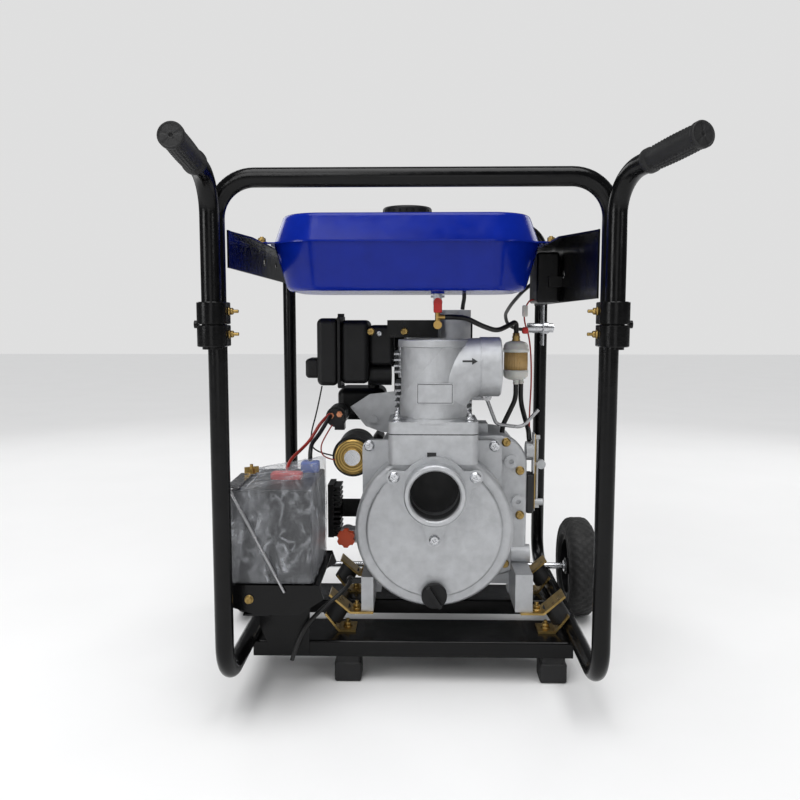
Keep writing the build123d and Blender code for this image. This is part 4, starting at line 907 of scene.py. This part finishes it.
# Lathe profiles of the filter: height over its foot, and radius.
PAPER = [(0.028, 0.004), (0.028, 0.0242), (0.045, 0.0246), (0.068, 0.0242), (0.068, 0.004)]
LOWER_CAP = [(0.008, 0.003), (0.009, 0.014), (0.012, 0.021), (0.017, 0.0252), (0.026, 0.0258),
             (0.029, 0.0258), (0.0298, 0.0245), (0.0298, 0.004)]
UPPER_CAP = [(0.066, 0.004), (0.066, 0.0245), (0.0668, 0.0264), (0.074, 0.0266), (0.0748, 0.0255),
             (0.080, 0.0252), (0.086, 0.021), (0.089, 0.012), (0.0895, 0.003)]
NECK = [(0.0885, 0.003), (0.0885, 0.0085), (0.091, 0.009), (0.0935, 0.0072), (0.097, 0.0085),
        (0.100, 0.0070)]
SPIGOT = [(-0.0002, 0.0030), (0.0, 0.0058), (0.003, 0.0064), (0.0055, 0.0054), (0.010, 0.0062),
          (0.016, 0.0062), (0.018, 0.002)]
SPIGOTS_AT = ((0.0, -0.007), (0.012, 0.006))
PLEATS, PLEAT_DEPTH = 14, 0.0016


def fuel_filter():
    """See-through filter: white end caps, folded amber paper between them and a brass fitting."""
    low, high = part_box("fuel_filter")
    up = Vector((0, 0, 1))
    origin = Vector(((low.x + high.x) / 2, (low.y + high.y) / 2, low.z))
    height = high.z - low.z

    def pleat(d, r, a):
        return d, r - PLEAT_DEPTH * abs(sin(PLEATS * a)) if r > 0.020 else r

    paper, caps, fitting = Batch(), Batch(), Batch()
    paper.add(*turned(origin, up, PAPER, 112, pleat))
    caps.add(*turned(origin, up, LOWER_CAP, 64))
    caps.add(*turned(origin, up, UPPER_CAP, 64))
    neck = NECK + [(height - 0.001, 0.0072), (height, 0.006), (height, 0.001)]
    fitting.add(*turned(origin, up, neck, 40))
    for dx, dy in SPIGOTS_AT:
        caps.add(*turned(origin + Vector((dx, dy, 0)), up, SPIGOT, 32))
    pleats = paper.make("filter_paper", EXTRA["pleats_amber"], "filter_white")
    caps.make("filter_caps", SLOTS["filter_white"], "filter_white")
    fitting.make("filter_fitting", SLOTS["zinc_yellow"], "zinc_yellow")
    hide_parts("fuel_filter")


def wires():
    """The battery lead and the thin wires that hang between two fixed ends."""
    low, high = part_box("starter_solenoid")
    red, black = EXTRA["red_wire"], SLOTS["hose"]
    routes = (
        ("battery_lead_red", 0.0032, red,
         [(low.x + 0.010, low.y + 0.004, high.z - 0.014), (low.x - 0.004, low.y - 0.012, high.z - 0.024),
          (-0.200, 0.040, 0.446), (-0.216, 0.008, 0.430), (-0.224, -0.030, 0.424),
          (-0.228, -0.070, 0.416), (-0.226, -0.100, case_top - 0.012)]),
        ("signal_wire_red", 0.0014, red,
         [(-0.160, 0.090, 0.474), (-0.174, 0.088, 0.452), (-0.188, 0.080, 0.424), (-0.178, 0.074, 0.402),
          (-0.150, 0.082, 0.398)]),
        ("signal_wire_black", 0.0015, black,
         [(-0.186, 0.112, 0.545), (-0.194, 0.100, 0.498), (-0.211, 0.100, 0.440), (-0.200, 0.096, 0.410),
          (-0.150, 0.092, 0.404)]),
        ("sender_wire", 0.0016, red,
         [(0.250, 0.112, 0.716), (0.236, 0.128, 0.722), (0.227, 0.139, 0.706), (0.2255, 0.1406, 0.696),
          (0.224, 0.142, 0.676), (0.238, 0.148, 0.640), (0.243, 0.150, 0.560), (0.236, 0.130, 0.480),
          (0.234, 0.106, 0.446)]),
    )
    for name, radius, finish, points in routes:
        obj = nurbs_line(name, points, radius)
        obj.data.materials.append(finish.mat)
        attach(obj, "frame")


fuel_filter()
wires()
pillow("wire_connector", Vector((0.2205, 0.1350, 0.6850)), Vector((0.2310, 0.1450, 0.7080)),
       SLOTS["filter_white"], 0.25)
pillow("wire_tape", Vector((0.2205, 0.1385, 0.6500)), Vector((0.2335, 0.1505, 0.6640)), SLOTS["red_plastic"],
       0.6)

# ------------------------------------------------------------------ marks on the castings


PRINT_LIFT = 0.0004


def printed(name, outline, node):
    """A thin print laid on the front of a casting, cut from an outline in X and Z."""
    tree = BVHTree.FromPolygons([v.co[:] for v in NODES[node].data.vertices],
                                [p.vertices[:] for p in NODES[node].data.polygons])
    work = bmesh.new()
    face = work.faces.new([work.verts.new((x, 0.0, z)) for x, z in outline])
    bmesh.ops.triangulate(work, faces=[face])
    bmesh.ops.subdivide_edges(work, edges=work.edges[:], cuts=3, use_grid_fill=True)
    for vert in work.verts:
        hit = tree.ray_cast(Vector((vert.co.x, cad_low.y - 0.1, vert.co.z)), Vector((0, 1, 0)))[0]
        if hit is not None:
            vert.co.y = hit.y - PRINT_LIFT
    mesh = bpy.data.meshes.new(name)
    work.to_mesh(mesh)
    work.free()
    mesh.materials.append(EXTRA["print_black"].mat)
    obj = bpy.data.objects.new(name, mesh)
    bpy.context.scene.collection.objects.link(obj)
    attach(obj, "frame")


printed("flow_arrow", [(0.0905, 0.6012), (0.108, 0.6012), (0.108, 0.5966), (0.1185, 0.6030), (0.108, 0.6094),
                       (0.108, 0.6048), (0.0905, 0.6048)], "discharge_elbow")
LABEL_X, LABEL_Z, LINE = (0.0085, 0.0715), (0.527, 0.561), 0.0005
for side, x in zip(("left", "right"), LABEL_X):
    printed("label_edge_" + side, [(x - LINE, LABEL_Z[0]), (x + LINE, LABEL_Z[0]), (x + LINE, LABEL_Z[1]),
                                   (x - LINE, LABEL_Z[1])], "discharge_elbow")
for side, z in zip(("low", "high"), LABEL_Z):
    printed("label_edge_" + side, [(LABEL_X[0], z - LINE), (LABEL_X[1], z - LINE), (LABEL_X[1], z + LINE),
                                   (LABEL_X[0], z + LINE)], "discharge_elbow")
printed("neck_pad", [(0.026, 0.425), (0.043, 0.425), (0.043, 0.435), (0.026, 0.435)], "pump_casing")

# ------------------------------------------------------------------ stage


FLOOR_HALF, FLOOR_DROP = 14.0, 0.0005
LAMP_AIM = Vector((0.0, 0.0, 0.45))
# Soft lamps: name, place, side in metres and power in watts.
LAMPS = (
    ("key", (-0.9, -2.6, 2.6), 1.5, 30.0),
    ("fill", (2.2, -2.4, 1.6), 0.9, 11.0),
    ("front", (0.1, -3.4, 0.9), 1.2, 5.0),
    ("side", (-2.5, -1.9, 1.2), 1.0, 20.0),
    ("back_left", (-2.0, 2.6, 2.0), 1.4, 13.0),
    ("back_right", (2.2, 2.4, 1.8), 1.4, 13.0),
)
OVERHEAD_POWER, OVERHEAD_SPREAD, OVERHEAD_TILT = 2.35, radians(50.0), radians(12.0)
SURROUND_LIGHT, SURROUND_SEEN = (0.11, 0.112, 0.116, 1.0), (0.74, 0.74, 0.74, 1.0)


def make_floor():
    """A wide pale floor just under the feet."""
    mesh = bpy.data.meshes.new("floor")
    half = FLOOR_HALF
    mesh.from_pydata([(-half, -half, 0.0), (half, -half, 0.0), (half, half, 0.0), (-half, half, 0.0)], [],
                     [(0, 1, 2, 3)])
    floor = bpy.data.objects.new("floor", mesh)
    floor.location.z = cad_low.z - FLOOR_DROP
    bpy.context.scene.collection.objects.link(floor)
    ground = simple("floor_paper", (0.86, 0.86, 0.86), (0.55, 0.70), drift=0.01, scale=3.0, grain=600.0,
                    depth=0.00003)
    mesh.materials.append(ground.mat)


def make_lights():
    """Soft lamps all round and a broad light from above."""
    for name, place, size, power in LAMPS:
        data = bpy.data.lights.new(name, "AREA")
        data.size = size
        data.energy = power
        lamp = bpy.data.objects.new(name, data)
        lamp.location = place
        aim = LAMP_AIM - Vector(place)
        lamp.rotation_euler = aim.to_track_quat("-Z", "Y").to_euler()
        bpy.context.scene.collection.objects.link(lamp)
    sun = bpy.data.lights.new("overhead", "SUN")
    sun.energy = OVERHEAD_POWER
    sun.angle = OVERHEAD_SPREAD
    overhead = bpy.data.objects.new("overhead", sun)
    overhead.rotation_euler = (OVERHEAD_TILT, 0.0, 0.0)
    bpy.context.scene.collection.objects.link(overhead)


def make_surround():
    """A surround that lights the object dimly and looks pale itself."""
    world = bpy.data.worlds.new("surround")
    world.use_nodes = True
    bpy.context.scene.world = world
    tree = world.node_tree
    ray = tree.nodes.new("ShaderNodeLightPath")
    mix = tree.nodes.new("ShaderNodeMix")
    mix.data_type = "RGBA"
    tree.links.new(ray.outputs["Is Camera Ray"], mix.inputs["Factor"])
    mix.inputs["A"].default_value = SURROUND_LIGHT
    mix.inputs["B"].default_value = SURROUND_SEEN
    tree.links.new(mix.outputs["Result"], tree.nodes["Background"].inputs["Color"])
    bpy.context.scene.view_settings.view_transform = "Standard"


make_floor()
make_lights()
make_surround()

# ------------------------------------------------------------------ the loose cable's finish, in place of the CAD cable

loose_cable.data.materials.append(SLOTS["hose"].mat)
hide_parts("loose_cable")
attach(loose_cable, "frame")
